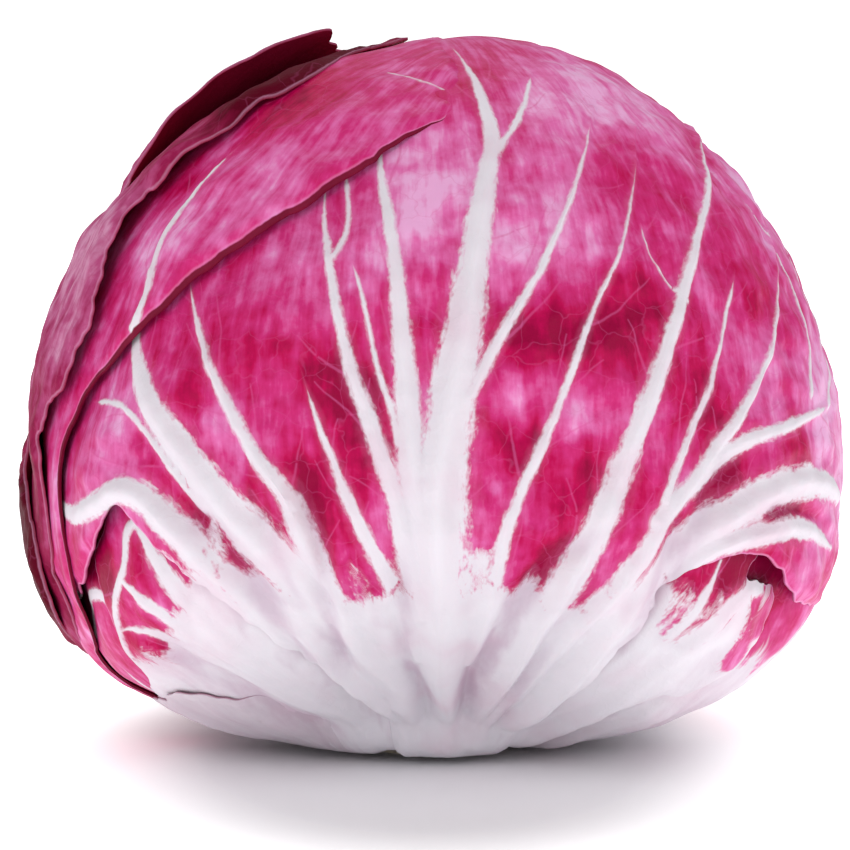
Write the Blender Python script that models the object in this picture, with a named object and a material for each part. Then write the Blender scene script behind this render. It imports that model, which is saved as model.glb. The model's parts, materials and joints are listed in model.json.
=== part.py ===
"""A round head of red radicchio: a short stem, a dense heart and ten leaves that lap over it.

Metres, +Z up, the front of the head towards -Y. The origin is under the middle of the head, on the
plane that it stands on. Every surface is a height above the head's centre along a direction, and a
direction is given as (azimuth, elevation) in degrees: azimuth 0 is the front, 90 the right side.
"""

import bpy
import numpy as np
from mathutils import Vector
from mathutils.geometry import delaunay_2d_cdt

MM = 0.001

# The head
HALF_WIDTH = 65 * MM
FRONT_DEPTH = 61.2 * MM
BACK_DEPTH = 62.8 * MM
CROWN_RISE = 71 * MM
CENTRE_HEIGHT = 43 * MM
MEAN_RADIUS = 58 * MM
FLOOR_GAP = 0.6 * MM

# The stem is a cone that narrows upwards, towards the head's centre
STEM_EDGE = -74.0
STEM_TOP = 10 * MM
STEM_SIDES = 40
BASE_EDGE = -71.5

# The leaves
BLADE = 0.85 * MM
RIM_STEP = 5.5 * MM
MESH_STEP = 7.4 * MM
LAP_REACH = 12 * MM
BASE_LAP_REACH = 4 * MM
LAP_START = 1.5 * MM
COVERED_RIB = 0.2
PRESSED_SHARE = 0.3
GUIDE_STEP = 3.8 * MM
GUIDE_GAP = 2.0 * MM
NARROWEST_FOOT = 2.2 * MM


def direction(azimuth, elevation):
    a, e = np.radians(azimuth), np.radians(elevation)
    return np.stack([np.sin(a) * np.cos(e), -np.cos(a) * np.cos(e), np.sin(e)], axis=-1)


def unit(vectors):
    return vectors / np.linalg.norm(vectors, axis=-1, keepdims=True)


def smooth(x):
    x = np.clip(x, 0.0, 1.0)
    return x * x * (3.0 - 2.0 * x)


def curve(points, step, closed=False):
    """Directions about one step apart along a smooth curve through (azimuth, elevation) points."""
    knots = direction(*np.array(points, float).T)
    if closed:
        knots = np.vstack([knots[-1:], knots, knots[:2]])
    else:
        knots = np.vstack([2 * knots[0] - knots[1], knots, 2 * knots[-1] - knots[-2]])
    dense = []
    t = np.linspace(0.0, 1.0, 24, endpoint=False)[:, None]
    for a, b, c, d in zip(knots[:-3], knots[1:-2], knots[2:-1], knots[3:]):
        dense.append(0.5 * (2 * b + (c - a) * t + (2 * a - 5 * b + 4 * c - d) * t**2
                            + (3 * b - a - 3 * c + d) * t**3))
    dense = unit(np.vstack(dense + [knots[-2:-1]]))
    length = np.r_[0.0, np.cumsum(np.linalg.norm(np.diff(dense, axis=0), axis=1))] * MEAN_RADIUS
    count = max(3, int(round(length[-1] / step)))
    at = np.linspace(0.0, length[-1], count + 1)
    line = unit(np.stack([np.interp(at, length, dense[:, i]) for i in range(3)], axis=1))
    return line[:-1] if closed else line


def angle(d, azimuth, elevation):
    """Degrees between each direction and the one given."""
    return np.degrees(np.arccos(np.clip(d @ direction(azimuth, elevation), -1.0, 1.0)))


def nearest(d, line):
    """Index of the line's nearest point to each direction, and the distance to it at the mean radius."""
    dots = d @ line.T
    index = dots.argmax(axis=1)
    apart = np.linalg.norm(d - line[index], axis=1)
    return index, apart * MEAN_RADIUS


def clear_of_stem(d):
    """The directions with those inside the stem's cone moved out to the leaves' base line."""
    azimuth = np.degrees(np.arctan2(d[:, 0], -d[:, 1]))
    base = direction(azimuth, np.full(len(d), BASE_EDGE))
    return np.where((d[:, 2] < np.sin(np.radians(BASE_EDGE)))[:, None], base, d)


class Rib:
    """A rib on a leaf: a raised line that tapers from its root to its tip."""

    def __init__(self, points, root, tip, height):
        self.line = curve(points, 2 * MM)
        along = np.linspace(0.0, 1.0, len(self.line))
        self.half_width = (root + (tip - root) * along) * MM
        self.height = height * MM * (1.0 - 0.6 * along)

    def relief(self, d):
        index, apart = nearest(d, self.line)
        return self.height[index] * (1.0 - smooth(apart / self.half_width[index]))

    def guides(self):
        """Points along the rib's crest, and along its foot on each side."""
        along = unit(np.gradient(self.line, axis=0))
        feet = np.maximum(self.half_width, NARROWEST_FOOT) / MEAN_RADIUS
        across = np.cross(along, self.line) * feet[:, None]
        every = slice(None, None, int(GUIDE_STEP / (2 * MM)) + 1)
        return [self.line[every], unit(self.line + across)[every], unit(self.line - across)[every]]


class Leaf:
    """One leaf's outline, ribs and lift. pitch is the room it takes in the stack of leaves."""

    def __init__(self, name, outline, ribs=(), pitch=2.3, lift=0.6, lifts=(), presses=(), frill=0.5,
                 colour="9f2449"):
        self.name = name
        self.pitch = pitch * MM
        self.lift = lift * MM
        self.lifts = lifts
        self.presses = presses
        self.colour = colour
        self.ribs = [Rib(*rib) for rib in ribs]
        self.rim = self.frilled(curve(outline, 1.2 * MM, closed=True), frill * MM)
        self.centre = unit(self.rim.mean(axis=0))
        along = np.roll(self.rim, -1, axis=0) - np.roll(self.rim, 1, axis=0)
        self.inward = unit(np.cross(self.rim, along))
        east = unit(np.cross([0.0, 0.0, 1.0], self.centre))
        self.axes = np.stack([east, np.cross(self.centre, east)])
        if self.turn() < 0:
            self.inward = -self.inward

    def frilled(self, rim, height):
        """The outline with its edge gently waved, but not where the leaf joins the stem."""
        along = np.arange(len(rim)) / len(rim) * 2 * np.pi
        wave = np.sin(9 * along + 1.0) + 0.7 * np.sin(17 * along) + 0.5 * np.sin(31 * along + 2.0)
        across = unit(np.cross(rim, np.roll(rim, -1, axis=0) - rim))
        free = smooth((rim[:, 2] - np.sin(np.radians(BASE_EDGE))) / 0.25)
        rim = unit(rim + across * (wave * height / MEAN_RADIUS * free)[:, None])
        return clear_of_stem(rim)

    def turn(self):
        """Positive where the outline runs anticlockwise in the leaf's own plane."""
        x, y = self.flat(self.rim).T
        return (x * np.roll(y, -1) - y * np.roll(x, -1)).sum()

    def flat(self, d):
        """The directions as points of a plane about the leaf's centre, in radians."""
        away = np.arccos(np.clip(d @ self.centre, -1.0, 1.0))
        side = unit(d @ self.axes.T + 1e-12)
        return side * away[:, None]

    def lifted(self, flat):
        """The directions of points of that plane."""
        away = np.linalg.norm(flat, axis=1, keepdims=True) + 1e-12
        return np.cos(away) * self.centre + np.sin(away) / away * (flat @ self.axes)

    def reach(self, d):
        """How far each direction lies inside the leaf's edge, and below zero outside it."""
        index, apart = nearest(d, self.rim)
        side = np.einsum("ij,ij->i", d - self.rim[index], self.inward[index])
        return np.where(side < 0.0, -apart, apart)

    def cover(self, d):
        """1 over the leaf, falling to 0 a lap's reach outside its edge, and sooner near the stem."""
        low = smooth((-0.55 - d[:, 2]) / 0.4)
        width = LAP_REACH + (BASE_LAP_REACH - LAP_REACH) * low
        return smooth(1.0 + (self.reach(d) + LAP_START) / width)

    def room(self, d):
        """The room that the leaf takes in the stack, less where it is pressed flat."""
        pressed = np.zeros(len(d))
        for azimuth, elevation, spread in self.presses:
            pressed = np.maximum(pressed, np.exp(-((angle(d, azimuth, elevation) / spread) ** 2)))
        return self.pitch * (1.0 - PRESSED_SHARE * pressed) * self.cover(d)

    def edge_lift(self, d):
        """How far the free edge stands off the head."""
        inside = self.reach(d)
        raised = np.full(len(d), self.lift)
        for azimuth, elevation, spread, height in self.lifts:
            raised += height * MM * np.exp(-((angle(d, azimuth, elevation) / spread) ** 2))
        free = smooth((d[:, 2] - np.sin(np.radians(BASE_EDGE))) / 0.3)
        return raised * free * np.clip(1.0 - inside / (11 * MM), 0.0, 1.0) ** 1.6


class Fold:
    """A groove that every leaf along it shares, because the leaves were packed together."""

    def __init__(self, points, depth, half_width):
        self.line = curve(points, 2 * MM)
        self.depth = depth * MM
        self.half_width = half_width * MM

    def depth_at(self, d):
        index, apart = nearest(d, self.line)
        along = index / (len(self.line) - 1)
        ends = smooth(along / 0.25) * smooth((1.0 - along) / 0.3)
        return self.depth * ends * np.exp(-(apart / self.half_width) ** 2)


FOLDS = [
    Fold([(14, -66), (11, -40), (11, -20), (11, -6)], 1.6, 3.6),
    Fold([(20, -62), (24, -34), (29, -14), (38, 1), (50, 11)], 1.8, 3.6),
    Fold([(24, -60), (31, -26), (38, -9), (52, 2)], 1.4, 3.2),
    Fold([(-3, -60), (-7, -30), (-9, -10), (-13, 6)], 1.5, 3.6),
    Fold([(-8, -60), (-17, -30), (-27, -7), (-38, 7)], 1.7, 3.4),
    Fold([(33, -50), (40, -30), (48, -17), (60, -14)], 1.6, 3.6),
    Fold([(-30, -55), (-40, -34), (-46, -20), (-52, -12)], 1.6, 3.6),
]


def skin(d):
    """Distance from the head's centre to its outside."""
    level = np.hypot(d[:, 0], d[:, 1]) + 1e-9
    across = (d[:, 0] / level) ** 2
    depth = np.where(d[:, 1] < 0, FRONT_DEPTH, BACK_DEPTH)
    girth = 1 / np.sqrt(across / HALF_WIDTH**2 + (1 - across) / depth**2)
    dome = 1 / np.sqrt((level / girth) ** 2 + (d[:, 2] / CROWN_RISE) ** 2)
    power = 1.4 + 1.2 * across + 1.1 * (1 - across) * smooth((-0.79 - d[:, 2]) / 0.16)
    bowl = ((level / girth) ** power + (np.abs(d[:, 2]) / CENTRE_HEIGHT) ** power) ** (-1 / power)
    outside = np.where(d[:, 2] > 0, dome, bowl)
    return outside - sum(fold.depth_at(d) for fold in FOLDS)


def side_ribs(midrib, spread, rise, starts):
    """Side ribs that leave a midrib on both sides and curve up towards the leaf's edge."""
    line = np.array(midrib, float)
    share = np.linspace(0.0, 1.0, len(line))
    ribs = []
    for i, start in enumerate(starts):
        side = 1 if i % 2 else -1
        azimuth = np.interp(start, share, line[:, 0])
        elevation = np.interp(start, share, line[:, 1])
        path = [(azimuth + side * spread * t, elevation + rise * t**0.8) for t in (0, 0.3, 0.65, 1)]
        ribs.append((path, 2.6 - start, 0.8, 1.3))
    return ribs


BACK_LEFT_MIDRIB = [(-132, -70), (-133, -30), (-136, 10), (-140, 45), (-150, 68)]
BACK_RIGHT_MIDRIB = [(136, -70), (137, -30), (140, 10), (145, 45), (155, 66)]
LEFT_MIDRIB = [(-110, -70), (-108, -30), (-106, 10), (-104, 45)]

# From the outside of the head inwards
LEAVES = [
    Leaf(
        "leaf_back_left",
        [(-100, -71.5), (-107, -50), (-104, -30), (-98, -10), (-95, 10), (-91, 30), (-86, 45), (-82, 55),
         (-83, 64), (-84, 72), (-78, 80), (-60, 87), (150, 82), (160, 62), (166, 40), (163, 15),
         (168, -15), (177, -40), (-172, -60), (-160, -71.5), (-130, -71.5)],
        ribs=[(BACK_LEFT_MIDRIB, 6.0, 1.0, 1.6)]
        + side_ribs(BACK_LEFT_MIDRIB, 38, 40, (0.1, 0.14, 0.32, 0.36, 0.55, 0.6)),
        pitch=2.6, lift=0.2, lifts=[(-84, 64, 24, 4.2), (165, 30, 26, 1.4)], frill=0.7, colour="6f1a33",
    ),
    Leaf(
        "leaf_left",
        [(-92, -71.5), (-99, -55), (-94, -35), (-86, -20), (-82, -12), (-79, -5), (-75, 1.6), (-72, 10.8),
         (-68, 17.7), (-65, 22), (-63, 28), (-66, 36), (-64, 44.5), (-61, 50), (-56, 57.5), (-50, 61),
         (-46, 68), (-49, 74), (-57, 80), (-120, 86), (-165, 70), (-158, 50), (-150, 25), (-148, 0),
         (-145, -30), (-140, -55), (-132, -71.5)],
        ribs=[(LEFT_MIDRIB, 5.0, 1.0, 1.4)],
        pitch=2.4, lift=0.4, lifts=[(-66, 38, 14, 2.0), (-50, 68, 16, 1.6), (-80, -10, 9, 1.0)], frill=0.6,
        colour="8a4a5e",
    ),
    Leaf(
        "leaf_left_front",
        [(-76, -71.5), (-86, -55), (-86, -38), (-79, -26), (-76, -17), (-74, -10), (-70, -3), (-67, 3),
         (-66, 10), (-62, 16), (-57, 20), (-52, 24), (-46.7, 27.8), (-42, 32), (-32, 39.7), (-24.5, 44.6),
         (-16, 50.5), (-7, 56.5), (3.6, 60.3), (9, 64), (12, 70), (13, 77), (20, 85), (165, 80),
         (-170, 65), (-152, 45), (-140, 20), (-136, -10), (-132, -40), (-122, -60), (-114, -71.5)],
        ribs=[([(-52.5, 24.9), (-52.5, 30.3), (-51, 36), (-52.5, 45.3), (-60.6, 54.3)], 1.0, 0.6, 0.7)],
        pitch=2.1, lift=0.7, lifts=[(-70, -4, 10, 0.8), (-30, 41, 12, 0.3), (12, 72, 16, -0.7)],
        presses=[(11, 70, 18)], frill=0.2, colour="c03f7c",
    ),
    Leaf(
        "leaf_base_left",
        [(-84, -71.5), (-84, -55), (-79, -45), (-73, -38), (-66, -34), (-57.6, -33), (-47, -34),
         (-39, -36), (-28, -42), (-20, -50), (-16, -60), (-18, -71.5), (-50, -71.5)],
        pitch=2.0, lift=0.5, lifts=[(-66, -35, 14, 1.0)], frill=0.3, colour="e5dbdb",
    ),
    Leaf(
        "leaf_front",
        [(-14, -71.5), (-15, -50), (-22, -30), (-31, -14), (-38, -6), (-43, -2), (-48, 1), (-52, -3),
         (-57, -8), (-63, -12.6), (-68, -16.5), (-72, -23), (-80, -31), (-92, -36), (-104, -26),
         (-112, 0), (-110, 25), (-100, 48), (-84, 66), (-60, 78), (-90, 86), (-175, 79), (140, 70),
         (118, 58), (113, 45), (116, 25), (120, 5), (117, -20), (105, -38), (92, -44), (82, -38),
         (76, -28), (71, -20), (65, -14), (59, -10), (54, -7.5), (48, -5.8), (42, -7.5), (37.5, -14),
         (33.5, -24), (31, -37), (31, -52), (34, -71.5), (10, -71.5)],
        ribs=[
            ([(10, -70), (4, -44), (1.4, -11.4), (0.8, 4.4), (2.9, 17.8), (5.1, 28.6), (8.1, 41.3),
              (13.8, 55.5), (14.8, 61.2), (14.4, 69.8), (17, 77.4)], 6.4, 1.2, 3.0),
            ([(6.7, 20.5), (11.9, 28.5), (17.7, 35.3), (26.4, 45.3), (34.8, 53)], 1.6, 0.7, 0.9),
            ([(14.4, 53.8), (23, 60), (30.4, 65)], 1.0, 0.6, 0.6),
            ([(8.5, -30), (9.7, -4.3), (12, 4.2), (16.6, 13.5), (24.5, 28), (32.8, 37.5), (44.5, 49.2)],
             2.6, 0.8, 1.2),
            ([(14, -60), (16.3, -36.8), (19.7, -11.3), (26.6, 6.3), (34.7, 20.6), (46.6, 35),
              (59, 43.3), (85, 51)], 3.4, 1.2, 1.7),
            ([(18, -60), (23, -22), (31.5, -3.7), (41.6, 8), (54, 17.6), (64, 26.4), (77.8, 37)],
             2.8, 0.9, 1.6),
            ([(43.5, 9), (52.5, 12.3), (64, 13.5), (80, 12.7)], 1.5, 0.8, 0.9),
            ([(26, -52), (29, -22), (37.5, -5.5), (47, -1), (58.6, 0.7), (70, -0.5), (80, -3.5)],
             3.6, 2.6, 2.2),
            ([(2, -18), (-0.2, -4.2), (-2.2, 7.1), (-3.7, 20.5), (-5.9, 37), (-10.8, 52)], 3.0, 1.2, 1.5),
            ([(-1.5, -16), (-4.2, 1.6), (-8.2, 13.7), (-12.6, 24.4), (-17, 36.7), (-20.8, 45.5)],
             2.2, 0.8, 1.1),
            ([(-10, -30), (-15.4, -11.3), (-19.4, 2.6), (-25.6, 10.4), (-32.3, 19.4), (-41.8, 31)],
             2.4, 0.9, 1.3),
            ([(-6, -52), (-9.3, -34), (-19.5, -9.5), (-30.7, 3.3), (-39.7, 12), (-46.8, 18.3), (-51, 23)],
             4.4, 2.2, 2.0),
            ([(-33, 1.8), (-42.2, 10.5), (-50, 14.6), (-60, 14.5)], 1.4, 0.7, 0.7),
            ([(-9, -64), (-12.5, -50), (-22.5, -20), (-33.7, -5.3), (-41.6, 1.8), (-47, 3.3),
              (-52.8, 0.8), (-62, -1.8), (-74, 0)], 3.4, 1.8, 1.9),
        ],
        pitch=3.0, lift=0.7, lifts=[(-44, -4, 9, 0.8), (62, -8, 14, 1.2), (120, 0, 30, 1.2)], frill=0.4,
        colour="c22a63",
    ),
    Leaf(
        "leaf_back_right",
        [(92, -71.5), (88, -58), (92, -40), (98, -15), (97, 15), (94, 40), (90, 60), (95, 79), (-150, 84),
         (-162, 62), (-160, 35), (-156, 5), (-158, -25), (-166, -50), (-172, -71.5), (150, -71.5)],
        ribs=[(BACK_RIGHT_MIDRIB, 6.0, 1.0, 1.6)]
        + side_ribs(BACK_RIGHT_MIDRIB, 34, 40, (0.1, 0.14, 0.32, 0.36, 0.55, 0.6)),
        pitch=2.3, lift=0.6, frill=0.6, colour="b02a5c",
    ),
    Leaf(
        "leaf_lower_left",
        [(-70, -71.5), (-74, -52), (-71, -40), (-66, -30), (-66, -21), (-63, -13), (-56, -6), (-54, 3),
         (-52, 14), (-42, 30), (-24, 36), (-6, 30), (4, 14), (6, -10), (3, -40), (2, -60), (2, -71.5),
         (-30, -71.5)],
        ribs=[
            ([(-28, -60), (-40, -36), (-49, -28), (-57, -26)], 2.2, 1.0, 0.9),
            ([(-22, -60), (-35, -30), (-45, -17), (-51, -10), (-52, -3)], 2.6, 1.0, 1.3),
            ([(-50.5, -3), (-51, -10), (-56, -18.3), (-57, -25), (-58, -32)], 1.1, 1.1, 1.3),
        ],
        pitch=2.4, lift=0.5, lifts=[(-64, -18, 12, -0.4)], frill=0.4, colour="cf9fb4",
    ),
    Leaf(
        "leaf_lower_right",
        [(14, -71.5), (15, -50), (18, -20), (26, 5), (40, 22), (58, 22), (66, 8), (62, -6), (60, -12),
         (64, -17), (66, -24), (71, -31), (73, -37), (66, -40), (58, -33), (51, -24), (47, -27),
         (45.5, -35), (46, -50), (45, -60), (44, -71.5)],
        ribs=[
            ([(32, -60), (37, -32), (45, -17), (54, -10)], 2.6, 1.2, 1.2),
            ([(38, -60), (41, -32), (50, -21), (60, -20)], 2.2, 1.0, 1.0),
        ],
        pitch=2.8, lift=0.6, lifts=[(60, -13, 10, 0.8), (48, -28, 10, 0.6)], frill=0.4, colour="d9b3c3",
    ),
    Leaf(
        "leaf_low_left",
        [(-104, -71.5), (-104, -50), (-96, -36), (-86, -28), (-76, -21), (-68, -15), (-60, -10),
         (-48, -12), (-40, -30), (-38, -50), (-40, -71.5), (-75, -71.5)],
        ribs=[([(-70, -62), (-68, -40), (-66, -26)], 2.0, 0.8, 0.9)],
        pitch=2.2, lift=0.4, frill=0.3, colour="9c1f40",
    ),
    Leaf(
        "leaf_low_right",
        [(30, -71.5), (32, -50), (36, -26), (48, -10), (62, -8), (74, -18), (82, -34), (90, -50),
         (96, -71.5), (60, -71.5)],
        ribs=[([(56, -62), (56, -40), (60, -24)], 2.2, 1.0, 0.9)],
        pitch=2.2, lift=0.4, frill=0.3, colour="e3d3d6",
    ),
]

# The outermost leaves of the heart, only as laps in relief
HEART_LAPS = [
    [(-40, -60), (-75, -20), (-80, 25), (-40, 60), (30, 70), (60, 30), (45, -15), (10, -60)],
    [(70, -60), (50, -10), (62, 40), (100, 76), (170, 60), (-178, 10), (170, -40), (120, -62)],
    [(-170, -60), (-172, 0), (-160, 45), (-110, 72), (-70, 40), (-84, -5), (-100, -45), (-130, -62)],
]
HEART_STEP = 11.0
LAP_RELIEF = 1.6 * MM


def level_under(d, leaf_index):
    """The height of a leaf's inner face: the skin, less its blade and the leaves outside it."""
    return skin(d) - BLADE - sum(leaf.room(d) for leaf in LEAVES[:leaf_index])


def bare(d, leaf_index):
    """1 where no leaf further out covers this one."""
    share = np.ones(len(d))
    for leaf in LEAVES[:leaf_index]:
        share *= 1.0 - leaf.cover(d)
    return share


def placed(d, height):
    """Points at those heights above the head's centre, kept clear of the floor."""
    points = d * height[:, None] + [0.0, 0.0, CENTRE_HEIGHT]
    sunk = (FLOOR_GAP * 2 - points[:, 2]) / FLOOR_GAP
    points[:, 2] = np.where(sunk > 0, FLOOR_GAP * (1 + np.exp(-np.maximum(sunk, 0.0))), points[:, 2])
    return points


def hex_points(limit, step):
    rows = np.arange(-limit, limit, step * np.sqrt(3) / 2)
    columns = np.arange(-limit, limit, step)
    x, y = np.meshgrid(columns, rows)
    x[1::2] += step / 2
    return np.stack([x.ravel(), y.ravel()], axis=1)


def leaf_sheet(leaf):
    """The leaf's outline filled with triangles that follow its ribs: directions and faces."""
    count = int(len(leaf.rim) * 1.2 * MM / RIM_STEP)
    rim = leaf.rim[np.linspace(0, len(leaf.rim), count, endpoint=False).astype(int)]
    guides = np.vstack([line for rib in leaf.ribs for line in rib.guides()] + [f.line[::3] for f in FOLDS])
    guides = guides[leaf.reach(guides) > GUIDE_STEP * 0.7]
    kept = []
    for point in guides:
        if not kept or nearest(point[None], np.array(kept))[1] > GUIDE_GAP:
            kept.append(point)
    fill = leaf.lifted(hex_points(2.6, MESH_STEP / MEAN_RADIUS))
    fill = fill[leaf.reach(fill) > 0.5 * MESH_STEP]
    if kept:
        fill = fill[nearest(fill, np.array(kept))[1] > 0.6 * MESH_STEP]
        fill = np.vstack([np.array(kept), fill])
    flat = leaf.flat(np.vstack([rim, fill]))
    ring = [(i, (i + 1) % len(rim)) for i in range(len(rim))]
    found = delaunay_2d_cdt([Vector(p) for p in flat], ring, [], 1, 1e-6)
    return leaf.lifted(np.array([tuple(p) for p in found[0]])), [tuple(f) for f in found[2]]


def closed_shell(inner, outer, faces):
    """One closed body between two sheets that share their triangles."""
    count = len(inner)
    uses = {}
    for a, b, c in faces:
        for edge in ((a, b), (b, c), (c, a)):
            uses[edge] = True
    rim = [(a, b) for a, b in uses if (b, a) not in uses]
    shell = list(faces) + [(c + count, b + count, a + count) for a, b, c in faces]
    for a, b in rim:
        shell += [(b, a, a + count), (b, a + count, b + count)]
    return np.vstack([outer, inner]), shell


def linear(hex_colour):
    srgb = np.array([int(hex_colour[i : i + 2], 16) / 255 for i in (0, 2, 4)])
    return (*np.where(srgb <= 0.04045, srgb / 12.92, ((srgb + 0.055) / 1.055) ** 2.4), 1.0)


def add_piece(name, points, faces, colour, roughness):
    mesh = bpy.data.meshes.new(name)
    mesh.from_pydata([tuple(p) for p in points], [], faces)
    mesh.shade_smooth()
    material = bpy.data.materials.new(name + "_skin")
    material.use_nodes = True
    surface = material.node_tree.nodes["Principled BSDF"]
    surface.inputs["Base Color"].default_value = linear(colour)
    surface.inputs["Roughness"].default_value = roughness
    surface.inputs["Metallic"].default_value = 0.0
    mesh.materials.append(material)
    piece = bpy.data.objects.new(name, mesh)
    bpy.context.scene.collection.objects.link(piece)
    return piece


def add_leaf(index, leaf):
    d, faces = leaf_sheet(leaf)
    x, y = leaf.flat(d).T
    a, b, c = faces[0]
    if (x[b] - x[a]) * (y[c] - y[a]) - (x[c] - x[a]) * (y[b] - y[a]) < 0:
        faces = [(c, b, a) for a, b, c in faces]
    open_share = bare(d, index)
    under = level_under(d, index) + leaf.edge_lift(d) * open_share
    relief = np.zeros(len(d))
    for rib in leaf.ribs:
        relief = np.maximum(relief, rib.relief(d))
    over = under + BLADE + relief * (COVERED_RIB + (1 - COVERED_RIB) * open_share)
    points, shell = closed_shell(placed(d, under), placed(d, over), faces)
    add_piece(leaf.name, points, shell, leaf.colour, 0.4)


def turned_body(name, rings, colour):
    """A closed body from rings of points, listed from the bottom up, with a point at each end."""
    sides = len(rings[1])
    points = np.vstack(rings)
    last = len(points) - 1
    faces = []
    for k in range(sides):
        after = (k + 1) % sides
        faces.append((0, 1 + after, 1 + k))
        for ring in range(len(rings) - 3):
            low = 1 + ring * sides
            high = low + sides
            faces += [(low + k, low + after, high + after), (low + k, high + after, high + k)]
        top = last - sides
        faces.append((last, top + k, top + after))
    add_piece(name, points, faces, colour, 0.5)


def add_heart():
    """The inner leaves as one body, hollowed by a cone at the bottom where the stem comes up."""
    azimuths = np.linspace(0, 360, 36, endpoint=False)
    laps = [Leaf("lap", outline, frill=0.0) for outline in HEART_LAPS]
    floor = (STEM_TOP - 1.6 * MM)
    rings = [np.array([[0.0, 0.0, CENTRE_HEIGHT - floor]])]
    for elevation in (-82.0, -71.8):
        rings.append(placed(direction(azimuths, np.full(36, elevation)), np.full(36, floor)))
    for elevation in np.arange(-69.5, 85.0, HEART_STEP):
        d = direction(azimuths, np.full(36, elevation))
        height = level_under(d, len(LEAVES)) - 0.6 * MM
        for lap in laps:
            height -= LAP_RELIEF * (1 - lap.cover(d)) * smooth((elevation + 69.5) / 30)
        rings.append(placed(d, height))
    top = direction(np.zeros(1), np.full(1, 90.0))
    rings.append(placed(top, level_under(top, len(LEAVES)) - 2 * MM))
    turned_body("heart", rings, "7d1838")


def add_stem():
    """The core: a flat cut face, a small bevel and a cone up into the heart."""
    azimuths = np.linspace(0, 360, STEM_SIDES, endpoint=False)
    sine = np.sin(np.radians(-STEM_EDGE))
    slope = 1 / np.tan(np.radians(-STEM_EDGE))
    bevel = 0.8 * MM

    def ring(z, radius):
        a = np.radians(azimuths)
        return np.stack([np.sin(a) * radius, -np.cos(a) * radius, np.full(len(a), z)], axis=1)

    rings = [np.zeros((1, 3)), ring(0.0, CENTRE_HEIGHT * slope - bevel)]
    for z in (bevel, 8 * MM, 18 * MM, 28 * MM, CENTRE_HEIGHT - STEM_TOP * sine):
        rings.append(ring(z, (CENTRE_HEIGHT - z) * slope))
    rings.append(np.array([[0.0, 0.0, CENTRE_HEIGHT - STEM_TOP]]))
    turned_body("stem", rings, "e6dcd6")


for old in list(bpy.data.objects):
    bpy.data.objects.remove(old)
for position, grown in enumerate(LEAVES):
    add_leaf(position, grown)
add_heart()
add_stem()
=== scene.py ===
"""The looks of a round head of red radicchio: ten leaves with ribs, veins and thin waved edges over a
dense heart and a short cut stem.

Metres, +Z up, the front of the head towards -Y. Each leaf is a height above the head's centre along a
direction, and a direction is given as (azimuth, elevation) in degrees: azimuth 0 is the front and 90
the right side. The leaves come outermost first, because each one lies under those before it.
"""

import json

import bpy
import numpy as np
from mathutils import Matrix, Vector
from mathutils.geometry import delaunay_2d_cdt

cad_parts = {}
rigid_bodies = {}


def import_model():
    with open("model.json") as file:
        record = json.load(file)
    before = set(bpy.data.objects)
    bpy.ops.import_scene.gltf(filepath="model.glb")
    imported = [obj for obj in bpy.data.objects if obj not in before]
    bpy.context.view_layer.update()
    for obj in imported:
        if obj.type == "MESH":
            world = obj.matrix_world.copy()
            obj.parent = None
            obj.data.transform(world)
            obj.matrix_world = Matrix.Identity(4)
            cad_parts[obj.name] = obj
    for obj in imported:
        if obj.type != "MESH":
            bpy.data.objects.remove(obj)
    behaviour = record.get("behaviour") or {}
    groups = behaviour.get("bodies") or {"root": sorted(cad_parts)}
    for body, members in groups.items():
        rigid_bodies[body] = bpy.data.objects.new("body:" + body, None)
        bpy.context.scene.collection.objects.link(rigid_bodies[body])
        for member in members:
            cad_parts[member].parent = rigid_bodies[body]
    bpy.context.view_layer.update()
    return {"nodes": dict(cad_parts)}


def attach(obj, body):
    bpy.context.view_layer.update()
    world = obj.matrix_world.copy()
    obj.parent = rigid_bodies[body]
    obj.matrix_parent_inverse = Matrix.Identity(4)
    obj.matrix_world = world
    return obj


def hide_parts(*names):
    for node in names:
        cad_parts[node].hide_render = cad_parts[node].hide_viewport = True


for old in list(bpy.data.objects):
    bpy.data.objects.remove(old)
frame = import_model()

# ---- leaf_back_left -------------------------------------------------------------------------------
# The outermost leaf: a thin blade on a broad fleshy midrib that grows from the stem at the back left.
# Its free edge stands off the head at the upper left and shows the smooth dark inner face.

MM = 0.001

# The head's outside, which the solids have too
HALF_WIDTH = 65 * MM
FRONT_DEPTH = 61.2 * MM
BACK_DEPTH = 62.8 * MM
CROWN_RISE = 71 * MM
CENTRE_HEIGHT = 43 * MM
MEAN_RADIUS = 58 * MM
FLOOR_GAP = 0.6 * MM
BASE_EDGE = -71.5

# A leaf's blade and how the leaves lap
BLADE = 0.85 * MM
MARGIN_BLADE = 0.4 * MM
LAP_REACH = 12 * MM
BASE_LAP_REACH = 4 * MM
LAP_START = 1.5 * MM
DEEP_COVER = 5 * MM
COVERED_RIB = 0.2
CURL_REACH = 11 * MM
RUFFLE_REACH = 6 * MM
LIP_TURN = 0.5 * MM
NO_LIP = 9.0

# Ribs and veins. A leaf's grain fans out from its base, with millimetres across measured at this radius.
RIB_TIP = 0.84
RIB_TIP_TRIM = 0.6 * MM
TWIG_GAP = 1.3 * MM
FAN_RADIUS = 34.0

# How far apart the meshes' points are, and how far round the head a leaf's flat map reaches, in radians
MARGIN_STEP = 0.55 * MM
CREST_STEP = 0.6 * MM
CREST_GAP = 0.45 * MM
INNER_STEP = 2.4 * MM
MAP_REACH = 2.7


def direction(azimuth, elevation):
    a, e = np.radians(azimuth), np.radians(elevation)
    return np.stack([np.sin(a) * np.cos(e), -np.cos(a) * np.cos(e), np.sin(e)], axis=-1)


def unit(vectors):
    return vectors / np.linalg.norm(vectors, axis=-1, keepdims=True)


def smooth(x):
    x = np.clip(x, 0.0, 1.0)
    return x * x * (3.0 - 2.0 * x)


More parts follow.
